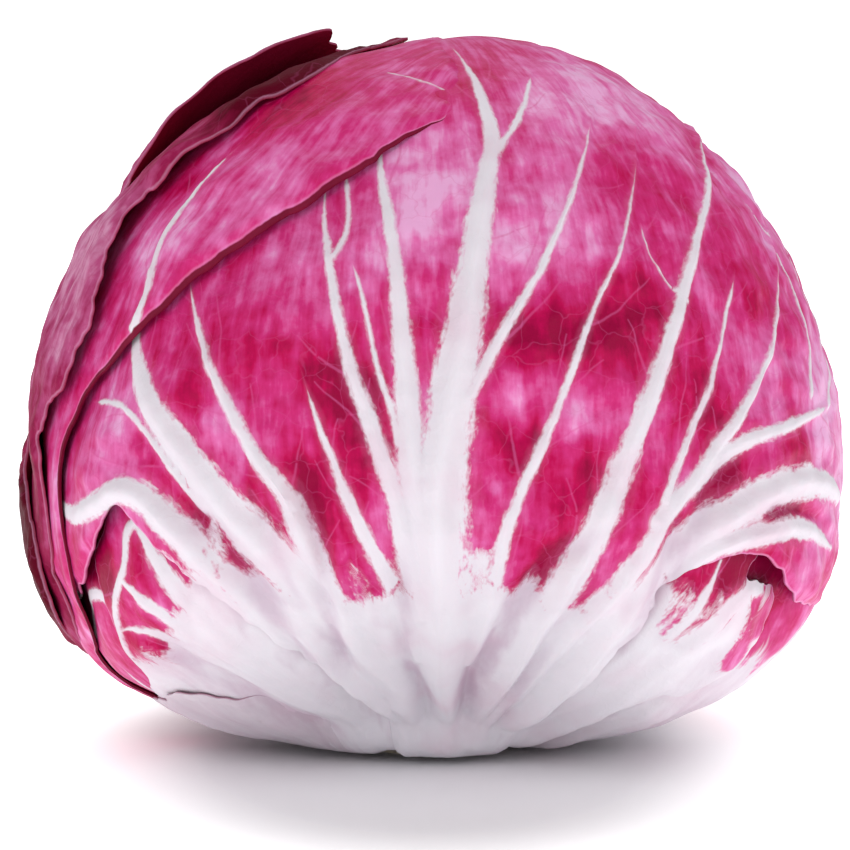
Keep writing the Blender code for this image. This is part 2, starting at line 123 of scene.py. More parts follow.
def curve(points, step, closed=False):
    """Directions about one step apart along a smooth curve through (azimuth, elevation) points."""
    knots = direction(*np.array(points, float).T)
    if closed:
        knots = np.vstack([knots[-1:], knots, knots[:2]])
    else:
        knots = np.vstack([2 * knots[0] - knots[1], knots, 2 * knots[-1] - knots[-2]])
    dense = []
    t = np.linspace(0.0, 1.0, 24, endpoint=False)[:, None]
    for a, b, c, d in zip(knots[:-3], knots[1:-2], knots[2:-1], knots[3:]):
        dense.append(0.5 * (2 * b + (c - a) * t + (2 * a - 5 * b + 4 * c - d) * t**2
                            + (3 * b - a - 3 * c + d) * t**3))
    dense = unit(np.vstack(dense + [knots[-2:-1]]))
    length = np.r_[0.0, np.cumsum(np.linalg.norm(np.diff(dense, axis=0), axis=1))] * MEAN_RADIUS
    count = max(3, int(round(length[-1] / step)))
    at = np.linspace(0.0, length[-1], count + 1)
    line = unit(np.stack([np.interp(at, length, dense[:, i]) for i in range(3)], axis=1))
    return line[:-1] if closed else line


def angle(d, azimuth, elevation):
    """Degrees between each direction and the one given."""
    return np.degrees(np.arccos(np.clip(d @ direction(azimuth, elevation), -1.0, 1.0)))


def nearest(d, line):
    """Index of the line's nearest point to each direction, and the distance to it at the mean radius."""
    across = line.astype(np.float32).T
    parts = np.array_split(d.astype(np.float32), len(d) // 20000 + 1)
    index = np.concatenate([(part @ across).argmax(axis=1) for part in parts])
    return index, np.linalg.norm(d - line[index], axis=1) * MEAN_RADIUS


def ripple(points, wavelength, seed, waves=16):
    """A smooth random field, mostly between -1 and 1, with bumps about one wavelength apart."""
    random = np.random.default_rng(seed)
    total = np.zeros(len(points))
    for _ in range(waves):
        way = unit(random.normal(size=points.shape[1])) * random.uniform(0.7, 1.4)
        total += np.sin(points @ way * (2 * np.pi / wavelength) + random.uniform(0, 2 * np.pi))
    return total / np.sqrt(waves)


class Rib:
    """A raised line from its root to its tip. white is the half-width of its pale band, and its taper."""

    def __init__(self, points, root, tip, height, white=None):
        self.line = curve(points, CREST_STEP)
        along = np.linspace(0.0, 1.0, len(self.line))
        self.half_width = (root + (tip - root) * along) * MM
        self.height = height * MM * (1.0 - 0.6 * along)
        wide, narrow, taper = white or (root, 0.4 * tip, 1.2)
        self.band = (narrow + (wide - narrow) * (1.0 - along) ** taper) * MM
        self.band -= RIB_TIP_TRIM * smooth((along - RIB_TIP) / (1.0 - RIB_TIP))


class Leaf:
    """One leaf's outline, ribs, place in the stack and colouring. Lengths are in millimetres.

    pitch is the room that the leaf takes in the stack, and base is where it joins the stem. frill, nick and
    ruffle wave its free edge, lift and lip raise it and turn it under. The skin is white below the elevation
    white_base, with fingers up from there. presses, lifts, fleshes and stains are local: each is azimuth,
    elevation, spread in degrees, and how much flatter, higher, whiter or redder the leaf is there. Some
    stains are the leaf's own colour and some are painted light: lilac for a painted sheen, deep red for
    painted shade.
    """

    def __init__(self, name, outline, ribs=(), pitch=2.3, base=(0, -78), presses=(), frill=0.5, nick=0.3,
                 ruffle=0.3, lift=0.6, lifts=(), lip=0.0, white_base=-24.0, fingers=2.5, fleshes=(),
                 stains_and_painted_light=()):
        self.name = name
        self.pitch = pitch * MM
        self.base = base
        self.presses = presses
        self.ruffle = ruffle * MM
        self.lift = lift * MM
        self.lifts = lifts
        self.lip = lip * MM
        self.white_base = white_base
        self.fingers = fingers * MM
        self.fleshes = fleshes
        self.stains_and_painted_light = stains_and_painted_light
        self.seed = sum(map(ord, name))
        self.ribs = [Rib(*rib) for rib in ribs]
        self.rim = self.frilled(curve(outline, 1.2 * MM, closed=True), frill * MM)
        self.centre = unit(self.rim.mean(axis=0))
        east = unit(np.cross([0.0, 0.0, 1.0], self.centre))
        self.axes = np.stack([east, np.cross(self.centre, east)])
        self.margin = self.frilled(curve(outline, MARGIN_STEP, closed=True), frill * MM)
        self.margin = self.nicked(self.margin, nick * MM)
        self.rim_inward = self.inward(self.rim)
        self.margin_inward = self.inward(self.margin)

    def frilled(self, rim, height):
        """The outline with its edge gently waved, but not where the leaf joins the stem."""
        along = np.arange(len(rim)) / len(rim) * 2 * np.pi
        wave = np.sin(9 * along + 1.0) + 0.7 * np.sin(17 * along) + 0.5 * np.sin(31 * along + 2.0)
        across = unit(np.cross(rim, np.roll(rim, -1, axis=0) - rim))
        rim = unit(rim + across * (wave * height / MEAN_RADIUS * self.free(rim, 0.25))[:, None])
        azimuth = np.degrees(np.arctan2(rim[:, 0], -rim[:, 1]))
        base = direction(azimuth, np.full(len(rim), BASE_EDGE))
        return np.where((rim[:, 2] < np.sin(np.radians(BASE_EDGE)))[:, None], base, rim)

    def nicked(self, rim, depth):
        """Small bites and scallops in the free edge."""
        places = rim * MEAN_RADIUS / MM
        bite = 0.8 * ripple(places, 7.0, self.seed) + 0.45 * ripple(places, 2.6, self.seed + 1)
        bite += 2.2 * np.maximum(0.0, ripple(places, 5.0, self.seed + 2) - 0.75)
        return unit(rim + self.inward(rim) * (bite * depth / MEAN_RADIUS * self.free(rim, 0.3))[:, None])

    def free(self, d, over):
        """0 where the leaf joins the stem, 1 further up."""
        return smooth((d[:, 2] - np.sin(np.radians(BASE_EDGE))) / over)

    def inward(self, rim):
        """The direction into the leaf at each point of its outline."""
        x, y = self.flat(rim).T
        turn = np.sign((x * np.roll(y, -1) - y * np.roll(x, -1)).sum())
        return turn * unit(np.cross(rim, np.roll(rim, -1, axis=0) - np.roll(rim, 1, axis=0)))

    def flat(self, d):
        """The directions as points of a plane about the leaf's centre, in radians."""
        away = np.arccos(np.clip(d @ self.centre, -1.0, 1.0))
        return unit(d @ self.axes.T + 1e-12) * away[:, None]

    def lifted(self, flat):
        """The directions of points of that plane."""
        away = np.linalg.norm(flat, axis=1, keepdims=True) + 1e-12
        return np.cos(away) * self.centre + np.sin(away) / away * (flat @ self.axes)

    def reach(self, d, rim, inward):
        """How far each direction lies inside an outline, and below zero outside it."""
        index, apart = nearest(d, rim)
        side = np.einsum("ij,ij->i", d - rim[index], inward[index])
        return np.where(side < 0.0, -apart, apart)

    def cover(self, d):
        """1 over the leaf, falling to 0 a lap's reach outside its edge, and sooner near the stem."""
        low = smooth((-0.55 - d[:, 2]) / 0.4)
        width = LAP_REACH + (BASE_LAP_REACH - LAP_REACH) * low
        return smooth(1.0 + (self.reach(d, self.rim, self.rim_inward) + LAP_START) / width)

    def pressed(self, d):
        """How far the leaf is pressed flat against the next one, from 0 to 1."""
        share = np.zeros(len(d))
        for azimuth, elevation, spread, depth in self.presses:
            share = np.maximum(share, depth * np.exp(-((angle(d, azimuth, elevation) / spread) ** 2)))
        return share

    def room(self, d):
        """The room that the leaf takes in the stack."""
        return self.pitch * (1.0 - self.pressed(d)) * self.cover(d)

    def edge_lift(self, d, inside):
        """How far the free edge stands off the head, with its ruffles and its curl."""
        raised = np.full(len(d), self.lift)
        for azimuth, elevation, spread, height in self.lifts:
            raised += height * MM * np.exp(-((angle(d, azimuth, elevation) / spread) ** 2))
        raised = raised * np.clip(1.0 - inside / CURL_REACH, 0.0, 1.0) ** 1.6
        places = d * MEAN_RADIUS / MM
        raised += self.ruffle * ripple(places, 9.0, self.seed + 3) * smooth(1.0 - inside / RUFFLE_REACH)
        if self.lip:
            raised -= LIP_TURN * smooth(1.0 - inside / self.lip)
        return raised * self.free(d, 0.3) * (1.0 - self.pressed(d))

    def grain(self, d):
        """Millimetres across and along the leaf's growth, which fans out from where it joins the stem."""
        root = direction(*self.base)
        across = unit(np.cross(root, self.centre))
        ahead = np.cross(across, root)
        turned = np.arctan2(d @ across, d @ ahead)
        along = np.arccos(np.clip(d @ root, -1.0, 1.0)) * MEAN_RADIUS / MM
        return np.stack([turned * FAN_RADIUS, along, np.zeros(len(d))], axis=1)


class Fold:
    """A groove that every leaf along it shares, because the leaves were packed together."""

    def __init__(self, points, depth, half_width):
        self.line = curve(points, CREST_STEP)
        self.depth = depth * MM
        self.half_width = half_width * MM

    def depth_at(self, d):
        index, apart = nearest(d, self.line)
        along = index / (len(self.line) - 1)
        ends = smooth(along / 0.25) * smooth((1.0 - along) / 0.3)
        return self.depth * ends * np.exp(-(apart / self.half_width) ** 2)


FOLDS = [
    Fold([(-3.5, 8), (-3.8, -4.5), (-4.8, -17), (-4.5, -31), (-0.5, -43), (3, -62)], 1.2, 2.0),
    Fold([(30, 3), (24, -1), (18.5, -4), (15, -8.6), (13.5, -15.5), (12, -22), (10, -31), (9, -42),
          (12, -62)], 2.0, 2.4),
    Fold([(26, -5), (22, -15), (20.5, -19.4), (20.4, -25), (20, -38), (23, -58)], 1.2, 1.9),
    Fold([(36, 5), (36, -11), (35, -19), (33, -30)], 1.2, 2.2),
    Fold([(50, 11), (42, 3), (37, -6), (30, -18)], 1.3, 2.6),
    Fold([(-20, 17), (-18.5, 10), (-17, 3), (-16, -4), (-16.5, -15), (-16.6, -22), (-17.5, -38)], 1.5, 1.9),
    Fold([(-43, 7), (-39, 4), (-32, -1), (-28, -6), (-25, -14), (-22, -25), (-19, -36)], 1.6, 2.2),
    Fold([(-26, 12), (-24, 2), (-21, -8), (-19, -18)], 0.9, 1.8),
    Fold([(-30, -55), (-40, -34), (-46, -20), (-52, -12)], 1.2, 3.0),
    Fold([(50, -1.6), (55, -0.3), (61, -0.6), (67, -2.2), (74, -5.2)], 1.3, 0.9),
]


def skin(d):
    """Distance from the head's centre to its outside."""
    level = np.hypot(d[:, 0], d[:, 1]) + 1e-9
    across = (d[:, 0] / level) ** 2
    depth = np.where(d[:, 1] < 0, FRONT_DEPTH, BACK_DEPTH)
    girth = 1 / np.sqrt(across / HALF_WIDTH**2 + (1 - across) / depth**2)
    dome = 1 / np.sqrt((level / girth) ** 2 + (d[:, 2] / CROWN_RISE) ** 2)
    power = 1.4 + 1.2 * across + 1.1 * (1 - across) * smooth((-0.79 - d[:, 2]) / 0.16)
    bowl = ((level / girth) ** power + (np.abs(d[:, 2]) / CENTRE_HEIGHT) ** power) ** (-1 / power)
    outside = np.where(d[:, 2] > 0, dome, bowl)
    return outside - sum(fold.depth_at(d) for fold in FOLDS)


laid = []


def level_under(d):
    """The height of the next leaf's inner face: the skin, less a blade and the leaves laid so far."""
    return skin(d) - BLADE - sum((leaf.room(d) for leaf in laid), np.zeros(len(d)))


def bare(d):
    """1 where no leaf laid so far covers the next one."""
    share = np.ones(len(d))
    for leaf in laid:
        share *= 1.0 - leaf.cover(d)
    return share


def placed(d, height):
    """Points at those heights above the head's centre, kept clear of the floor."""
    points = d * height[:, None] + [0.0, 0.0, CENTRE_HEIGHT]
    sunk = (FLOOR_GAP * 2 - points[:, 2]) / FLOOR_GAP
    points[:, 2] = np.where(sunk > 0, FLOOR_GAP * (1 + np.exp(-np.maximum(sunk, 0.0))), points[:, 2])
    return points


def twigs(leaf):
    """Fine veins that leave each rib on alternate sides at a slant and bend towards its tip."""
    random = np.random.default_rng(leaf.seed)
    lines, widths = [], []
    step = CREST_STEP / MEAN_RADIUS
    for number, rib in enumerate(leaf.ribs):
        ribs = [other.line for other in leaf.ribs[:number] + leaf.ribs[number + 1:]]
        at = random.uniform(5, 9)
        side = 1
        while at * MM / CREST_STEP < len(rib.line) - 4:
            start = int(at * MM / CREST_STEP)
            share = start / len(rib.line)
            at += random.uniform(3.5, 7.0)
            side = -side
            point = rib.line[start]
            ahead = unit(rib.line[start + 1] - rib.line[start - 1])
            lean = np.radians(random.uniform(26, 48))
            bend = np.radians(random.uniform(0.3, 1.6))
            length = random.uniform(6, 20) * (1.15 - 0.6 * share)
            path = [point]
            others = np.vstack(ribs + lines) if ribs + lines else None
            while len(path) * CREST_STEP < length * MM:
                heading = np.cos(lean) * ahead + np.sin(lean) * side * np.cross(ahead, point)
                point = unit(point + heading * step)
                ahead = unit(ahead - (ahead @ point) * point)
                lean = max(0.1, lean - bend + np.radians(random.normal(0, 4)))
                gap = nearest(point[None], others)[1][0] if others is not None else 1.0
                if gap < TWIG_GAP:
                    break
                path.append(point)
            if len(path) > 5 and share > 0.06:
                lines.append(np.array(path))
                widths.append(np.linspace(0.16, 0.04, len(path)) * MM * random.uniform(0.6, 1.15))
    return lines, widths


def hex_points(limit, step):
    rows = np.arange(-limit, limit, step * np.sqrt(3) / 2)
    columns = np.arange(-limit, limit, step)
    x, y = np.meshgrid(columns, rows)
    x[1::2] += step / 2
    return np.stack([x.ravel(), y.ravel()], axis=1)


def thinned(points, gap):
    """The points with one kept in each small cell."""
    cells = np.round(points * MEAN_RADIUS / gap).astype(int)
    return points[np.sort(np.unique(cells, axis=0, return_index=True)[1])]


def enclosed(points, ring):
    """Whether each point of a plane lies inside the closed ring."""
    x, y = points[:, :1], points[:, 1:]
    a, b = ring, np.roll(ring, -1, axis=0)
    meet = (b[:, 0] - a[:, 0]) * (y - a[:, 1]) / (b[:, 1] - a[:, 1] + 1e-15) + a[:, 0]
    return (((a[:, 1] > y) != (b[:, 1] > y)) & (x < meet)).sum(axis=1) % 2 == 1


def filled(leaf, margin, inside_points):
    """Triangles over the leaf's outline and the points inside it, facing outwards."""
    d = np.vstack([margin, inside_points])
    flat = leaf.flat(d)
    ring = [(i, (i + 1) % len(margin)) for i in range(len(margin))]
    found = delaunay_2d_cdt([Vector(p) for p in flat.tolist()], ring, [], 1, 1e-7, False)
    faces = np.array(found[2])
    flat = np.array([tuple(p) for p in found[0]])
    bay = (faces < len(margin)).all(axis=1)
    bay[bay] = ~enclosed(flat[faces[bay]].mean(axis=1), flat[: len(margin)])
    faces = faces[~bay]
    kept = leaf.lifted(flat)
    a, b, c = (kept[faces[:, i]] for i in range(3))
    turned = np.einsum("ij,ij->i", np.cross(b - a, c - a), a) < 0
    faces[turned] = faces[turned][:, ::-1]
    return kept, faces


def hidden(d):
    """Where the leaves laid so far hide the next one for good."""
    covered = np.zeros(len(d), bool)
    for other in laid:
        covered |= other.reach(d, other.rim, other.rim_inward) > DEEP_COVER
    return covered


def sown(leaf, step, veins):
    """Points for the leaf's outer face: on its ribs and veins, between them, and fewer where it's hidden."""
    fill = leaf.lifted(hex_points(MAP_REACH, step / MEAN_RADIUS))
    fill = fill[leaf.reach(fill, leaf.rim, leaf.rim_inward) > -1.0 * MM]
    fill = fill[leaf.reach(fill, leaf.margin, leaf.margin_inward) > 0.45 * step]
    fill = fill[~hidden(fill)]
    sparse = leaf.lifted(hex_points(MAP_REACH, 3 * step / MEAN_RADIUS))
    sparse = sparse[leaf.reach(sparse, leaf.margin, leaf.margin_inward) > 1.2 * step]
    sparse = sparse[hidden(sparse)]
    crest = [rib.line for rib in leaf.ribs] + veins
    if not crest:
        return np.vstack([fill, sparse])
    crest = thinned(np.vstack(crest), CREST_GAP)
    crest = crest[leaf.reach(crest, leaf.margin, leaf.margin_inward) > 0.6 * step]
    fill = fill[nearest(fill, crest)[1] > 0.55 * step]
    return np.vstack([crest, fill, sparse])


def rib_marks(leaf, d, grain, veins, vein_widths):
    """What the ribs and veins give each direction: relief, the white band and its feathered border, the
    way along the nearest rib, the vein's own line, and the distance to the nearest of them all.
    """
    relief = np.zeros(len(d))
    white = np.full(len(d), -20 * MM)
    feather = np.full(len(d), 0.1 * MM)
    rib_gap = np.full(len(d), 30 * MM)
    lane = grain.copy()
    for number, rib in enumerate(leaf.ribs):
        index, apart = nearest(d, rib.line)
        relief = np.maximum(relief, rib.height[index] * (1.0 - smooth(apart / rib.half_width[index])))
        pale = rib.band[index] - apart
        across = unit(np.cross(rib.line, np.gradient(rib.line, axis=0)))[index]
        side = np.sign(np.einsum("ij,ij->i", d, across)) * apart / MM + 40 * number
        beside = np.stack([side, index * CREST_STEP / MM, np.zeros(len(d))], axis=1)
        lane = np.where((pale > white)[:, None], beside, lane)
        feather = np.where(pale > white, 0.1 * MM + 0.22 * rib.band[index], feather)
        white = np.maximum(white, pale)
        rib_gap = np.minimum(rib_gap, np.maximum(apart - 0.6 * rib.half_width[index], 0.0))
    twig = np.full(len(d), -2 * MM)
    if veins:
        line, width = np.vstack(veins), np.concatenate(vein_widths)
        index, apart = nearest(d, line)
        twig = np.maximum(width[index] - apart, -2 * MM)
        relief = np.maximum(relief, 0.13 * MM * smooth(1.0 - apart / (0.7 * MM)))
        rib_gap = np.minimum(rib_gap, apart)
    return relief, white, feather, lane, twig, rib_gap


def grow(leaf, step, finish):
    """Makes the leaf's mesh: a fine outer face, a plainer inner one and a thin edge between them."""
    print("growing", leaf.name, flush=True)
    veins, vein_widths = twigs(leaf)
    outer, outer_faces = filled(leaf, leaf.margin, sown(leaf, step * MM * (1.0), veins))
    within = leaf.lifted(hex_points(MAP_REACH, INNER_STEP * 1.0 / MEAN_RADIUS))
    within = within[leaf.reach(within, leaf.margin, leaf.margin_inward) > 0.9 * MM]
    inner, inner_faces = filled(leaf, leaf.margin, within)

    d = np.vstack([outer, inner])
    count = len(outer)
    is_outer = np.arange(len(d)) < count
    inside = np.maximum(leaf.reach(d, leaf.margin, leaf.margin_inward), 0.0)
    inside[: len(leaf.margin)] = 0.0
    inside[count : count + len(leaf.margin)] = 0.0
    open_share = bare(d)
    places = d * MEAN_RADIUS / MM
    grain = leaf.grain(d)
    relief, white, feather, lane, twig, rib_gap = rib_marks(leaf, d, grain, veins, vein_widths)

    elevation = np.degrees(np.arcsin(np.clip(d[:, 2], -1, 1)))
    low = (leaf.white_base - elevation) * MEAN_RADIUS * np.pi / 180
    low += leaf.fingers * ripple(grain[:, :2] * [1.0, 0.14], 3.6, leaf.seed + 5)
    for azimuth, height, across, depth in leaf.fleshes:
        low += depth * MM * np.exp(-((angle(d, azimuth, height) / across) ** 2))
    feather = np.where(low > white, 2.6 * MM, feather)
    white = np.maximum(white, low)

    fleshy = smooth((white + 1 * MM) / (5 * MM))
    puff = 0.4 * MM * smooth(rib_gap / (3.2 * MM)) * (1 - fleshy)
    wrinkles = 0.28 * MM * ripple(places, 10.0, leaf.seed + 6)
    wrinkles += 0.12 * MM * ripple(places, 4.2, leaf.seed + 7)
    flutes = 0.3 * MM * ripple(grain[:, :2] * [1.0, 0.12], 5.5, leaf.seed + 8)
    detail = puff + wrinkles * (1 - 0.6 * fleshy) + flutes * fleshy
    furrow = sum(fold.depth_at(d) for fold in FOLDS) / (1.5 * MM)
    # Painted shade for the furrows between the ribs and along the shared folds
    groove_shade = 0.5 * smooth(rib_gap / (3 * MM)) + 0.8 * furrow
    lip = inside / (leaf.lip * (1.0 - leaf.pressed(d)) + 1e-9) if leaf.lip else np.full(len(d), NO_LIP)
    steady = smooth(inside / (2 * MM))
    bared = (COVERED_RIB + (1 - COVERED_RIB) * open_share) * smooth((elevation + 70) / 26)
    under = level_under(d) + leaf.edge_lift(d, inside) * open_share
    blade = MARGIN_BLADE + (BLADE - MARGIN_BLADE) * smooth(inside / (1.6 * MM))
    over = under + blade + relief * bared + detail * steady * bared
    points = placed(d, np.where(is_outer, over, under))

    rim = np.arange(len(leaf.margin))
    after = np.roll(rim, -1)
    edges = np.vstack([outer_faces[:, [0, 1]], outer_faces[:, [1, 2]], outer_faces[:, [2, 0]]])
    forward = (edges == [rim[0], after[0]]).all(axis=1).any()
    a, b = (rim, after) if forward else (after, rim)
    walls = np.vstack([np.stack([b, a, a + count], axis=1), np.stack([b, a + count, b + count], axis=1)])
    faces = np.vstack([outer_faces, inner_faces[:, ::-1] + count, walls])

    # Painted shade: the red deepens along the shared folds. The stains come on top, some the leaf's own
    # colour, some painted sheen or shade
    tone_and_shade = 0.9 * furrow
    for azimuth, height, across, strength in leaf.stains_and_painted_light:
        tone_and_shade += strength * np.exp(-((angle(d, azimuth, height) / across) ** 2))
    mesh = bpy.data.meshes.new(leaf.name)
    mesh.from_pydata(points.tolist(), [], faces.tolist())
    mesh.shade_smooth()
    mesh.set_sharp_from_angle(angle=np.radians(60))
    rows = {"white": white / MM, "feather": feather / MM, "twig": twig / MM, "tone_and_shade": tone_and_shade,
            "edge": inside / MM, "lip": np.minimum(lip, NO_LIP), "groove_shade": np.clip(groove_shade, 0.0, 1.0),
            "inner": np.where(is_outer, 0.0, 1.0)}
    for name, values in rows.items():
        mesh.attributes.new(name, "FLOAT", "POINT").data.foreach_set("value", values.astype(np.float32))
    for name, values in (("grain", grain), ("lane", lane)):
        mesh.attributes.new(name, "FLOAT_VECTOR", "POINT").data.foreach_set(
            "vector", values.astype(np.float32).ravel())
    mesh.materials.append(finish)
    piece = bpy.data.objects.new("fine_" + leaf.name, mesh)
    bpy.context.scene.collection.objects.link(piece)
    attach(piece, "root")
    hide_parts(leaf.name)
    print(leaf.name, len(faces), "triangles", flush=True)
    laid.append(leaf)
    return piece


def linear(hex_colour):
    srgb = np.array([int(hex_colour[i : i + 2], 16) / 255 for i in (0, 2, 4)])
    return (*np.where(srgb <= 0.04045, srgb / 12.92, ((srgb + 0.055) / 1.055) ** 2.4), 1.0)


def add(tree, kind, inputs, out=0, **settings):
    """Adds a node with its settings and what feeds it, and returns one of its outputs."""
    made = tree.nodes.new("ShaderNode" + kind)
    for name, value in settings.items():
        setattr(made, name, value)
    for socket, value in inputs.items():
        if isinstance(value, bpy.types.NodeSocket):
            tree.links.new(value, made.inputs[socket])
        else:
            made.inputs[socket].default_value = value
    return made.outputs[out]


EASED = {"interpolation_type": "SMOOTHSTEP"}


def leaf_skin(name, shades, crest, flesh, groove_shade_colour, blush, inner, rough, shine):
    """Waxy leaf skin: crimson that breaks into lilac, feathered white ribs and a faint net of veins.

    shades run from the palest lilac, partly wax bloom and partly a painted sheen of the softboxes'
    reflection, to the deepest red. crest is the white of thin ribs, flesh that of thick ones, and the
    furrow colour is painted shade in the furrows between them. inner is the inner face's pair of colours,
    which also paints the shade on an edge turned under at the lip.
    """
    material = bpy.data.materials.new(name)
    material.use_nodes = True
    tree = material.node_tree
    surface = tree.nodes["Principled BSDF"]
    where = add(tree, "TexCoord", {}, "Object")
    grain = add(tree, "Attribute", {}, "Vector", attribute_name="grain")
    lane = add(tree, "Attribute", {}, "Vector", attribute_name="lane")
    white, feather, twig, stain_and_shade, edge, lip, groove_shade, inside = (
        add(tree, "Attribute", {}, "Fac", attribute_name=attribute)
        for attribute in ("white", "feather", "twig", "tone_and_shade", "edge", "lip", "groove_shade", "inner"))

    # Streaks, each with its width and length in millimetres: two beside each rib, which break up the
    # border of its white band, and two along the leaf's growth
    streaks = []
    for way, wide, long, detail in ((lane, 0.8, 3.0, 3.0), (lane, 0.5, 0.9, 2.0),
                                    (grain, 2.2, 11.0, 3.0), (grain, 0.7, 7.0, 3.0)):
        scaled = add(tree, "VectorMath", {0: way, 1: (1 / wide, 1 / long, 0.0)}, operation="MULTIPLY")
        streaks.append(add(tree, "TexNoise", {"Vector": scaled, "Scale": 1.0, "Detail": detail}, "Fac"))
    broad, fine, streak, thread = streaks
    shift = -3.8
    for layer, share in ((broad, 2.6), (fine, 2.2), (streak, 2.8)):
        shift = add(tree, "Math", {0: layer, 1: share, 2: shift}, operation="MULTIPLY_ADD")
    shift = add(tree, "Math", {0: shift, 1: feather, 2: white}, operation="MULTIPLY_ADD")
    blur = add(tree, "Math", {0: feather, 1: 0.75, 2: 0.12}, operation="MULTIPLY_ADD")
    shift = add(tree, "Math", {0: shift, 1: blur}, operation="DIVIDE")
    pale = add(tree, "MapRange", {0: shift, 1: -1.0, 2: 1.0}, **EASED)
    halo = add(tree, "MapRange", {0: shift, 1: -4.0, 2: 0.0}, **EASED)

    # A faint net of small veins, in cells about 6 mm across, bent by a slow noise
    sway = add(tree, "TexNoise", {"Vector": where, "Scale": 1000 / 4.0, "Detail": 2.0}, "Color")
    sway = add(tree, "VectorMath", {0: sway, 1: (0.5, 0.5, 0.5)}, operation="SUBTRACT")
    sway = add(tree, "VectorMath", {0: sway, 1: (0.004, 0.004, 0.004), 2: where}, operation="MULTIPLY_ADD")
    net = add(tree, "TexVoronoi", {"Vector": sway, "Scale": 1000 / 6.0}, "Distance",
              feature="DISTANCE_TO_EDGE")
    net = add(tree, "MapRange", {0: net, 1: 0.0, 2: 0.03, 3: 1.0, 4: 0.0}, **EASED)

    # Patches of colour, 14 mm and 3 mm across, and the streaks along the growth over the leaf's stains and
    # painted shade
    cloud = add(tree, "TexNoise", {"Vector": where, "Scale": 1000 / 14.0, "Detail": 3.0}, "Fac")
    patch = add(tree, "TexNoise", {"Vector": where, "Scale": 1000 / 3.0, "Detail": 4.0}, "Fac")
    depth = -0.78
    for layer, share in ((stain_and_shade, 0.5), (cloud, 0.8), (patch, 0.6), (thread, 0.45)):
        depth = add(tree, "Math", {0: layer, 1: share, 2: depth}, operation="MULTIPLY_ADD")
    depth = add(tree, "Math", {0: streak, 1: 0.7, 2: depth}, operation="MULTIPLY_ADD", use_clamp=True)
    ramp = tree.nodes.new("ShaderNodeValToRGB")
    tree.links.new(depth, ramp.inputs[0])
    stops = ramp.color_ramp.elements
    while len(stops) < len(shades):
        stops.new(0.5)
    for element, place, shade in zip(stops, np.linspace(0.0, 1.0, len(shades)), shades):
        element.position = place
        element.color = linear(shade)
    red = ramp.outputs[0]

    # Veins read dark where the skin is lilac and light where it is crimson
    line = add(tree, "Mix", {0: depth, 6: linear(shades[2]), 7: linear(shades[1])}, 2, data_type="RGBA")
    twig = add(tree, "MapRange", {0: twig, 1: -0.2, 2: 0.08, 3: 0.0, 4: 0.32}, **EASED)
    twig = add(tree, "Math", {0: net, 1: 0.15, 2: twig}, operation="MULTIPLY_ADD", use_clamp=True)
    red = add(tree, "Mix", {0: twig, 6: red, 7: line}, 2, data_type="RGBA")
    halo = add(tree, "Math", {0: halo, 1: 0.22}, operation="MULTIPLY")
    red = add(tree, "Mix", {0: halo, 6: red, 7: linear(blush)}, 2, data_type="RGBA")

    # The fleshy white, with painted shade in the furrows between ribs and along the folds, and a faint blush
    pink = add(tree, "MapRange", {0: cloud, 1: 0.45, 2: 0.72, 3: 0.0, 4: 0.16}, **EASED)
    body = add(tree, "Math", {0: streak, 1: groove_shade}, operation="MULTIPLY")
    body = add(tree, "MapRange", {0: body, 1: 0.1, 2: 0.55, 3: 0.0, 4: 0.85}, **EASED)
    thick = add(tree, "MapRange", {0: white, 1: 2.0, 2: 8.0}, **EASED)
    fresh = add(tree, "Mix", {0: thick, 6: linear(crest), 7: linear(flesh)}, 2, data_type="RGBA")
    body = add(tree, "Mix", {0: body, 6: fresh, 7: linear(groove_shade_colour)}, 2, data_type="RGBA")
    body = add(tree, "Mix", {0: pink, 6: body, 7: linear(blush)}, 2, data_type="RGBA")
    colour = add(tree, "Mix", {0: pale, 6: red, 7: body}, 2, data_type="RGBA")

    # The inner face, which also shows where an edge is turned under and there partly paints the shade under
    # the lip, and a painted highlight on the edge itself and on the crest of the lip
    lining = add(tree, "Mix", {0: streak, 6: linear(inner[0]), 7: linear(inner[1])}, 2, data_type="RGBA")
    turned = add(tree, "MapRange", {0: lip, 1: 0.7, 2: 1.0, 3: 1.0, 4: 0.0}, **EASED)
    turned = add(tree, "Math", {0: turned, 1: inside}, operation="MAXIMUM")
    colour = add(tree, "Mix", {0: turned, 6: colour, 7: lining}, 2, data_type="RGBA")
    # Painted highlight: a pale lilac line along the very edge and along the crest of a turned-under lip
    lip_crest_highlight = add(tree, "MapRange", {0: lip, 1: 1.0, 2: 1.5, 3: 0.25, 4: 0.0}, **EASED)
    rim = add(tree, "MapRange", {0: edge, 1: 0.1, 2: 0.4, 3: 0.45, 4: 0.0}, **EASED)
    rim = add(tree, "Math", {0: rim, 1: lip_crest_highlight}, operation="MAXIMUM")
    free = add(tree, "Math", {0: 1.0, 1: turned}, operation="SUBTRACT")
    rim = add(tree, "Math", {0: rim, 1: free}, operation="MULTIPLY")
    rim = add(tree, "Mix", {0: pale, 2: rim, 3: 0.0}, 0)
    colour = add(tree, "Mix", {0: rim, 6: colour, 7: linear(shades[0])}, 2, data_type="RGBA")
    tree.links.new(colour, surface.inputs["Base Color"])

    gloss = add(tree, "MapRange", {0: patch, 1: 0.3, 2: 0.7, 3: rough - 0.06, 4: rough + 0.06})
    gloss = add(tree, "Math", {0: pale, 1: 0.1, 2: gloss}, operation="MULTIPLY_ADD")
    tree.links.new(gloss, surface.inputs["Roughness"])
    surface.inputs["Specular IOR Level"].default_value = shine
    surface.inputs["Subsurface Weight"].default_value = 0.06
    surface.inputs["Subsurface Radius"].default_value = (1.0, 0.4, 0.5)
    surface.inputs["Subsurface Scale"].default_value = 1.2 * MM

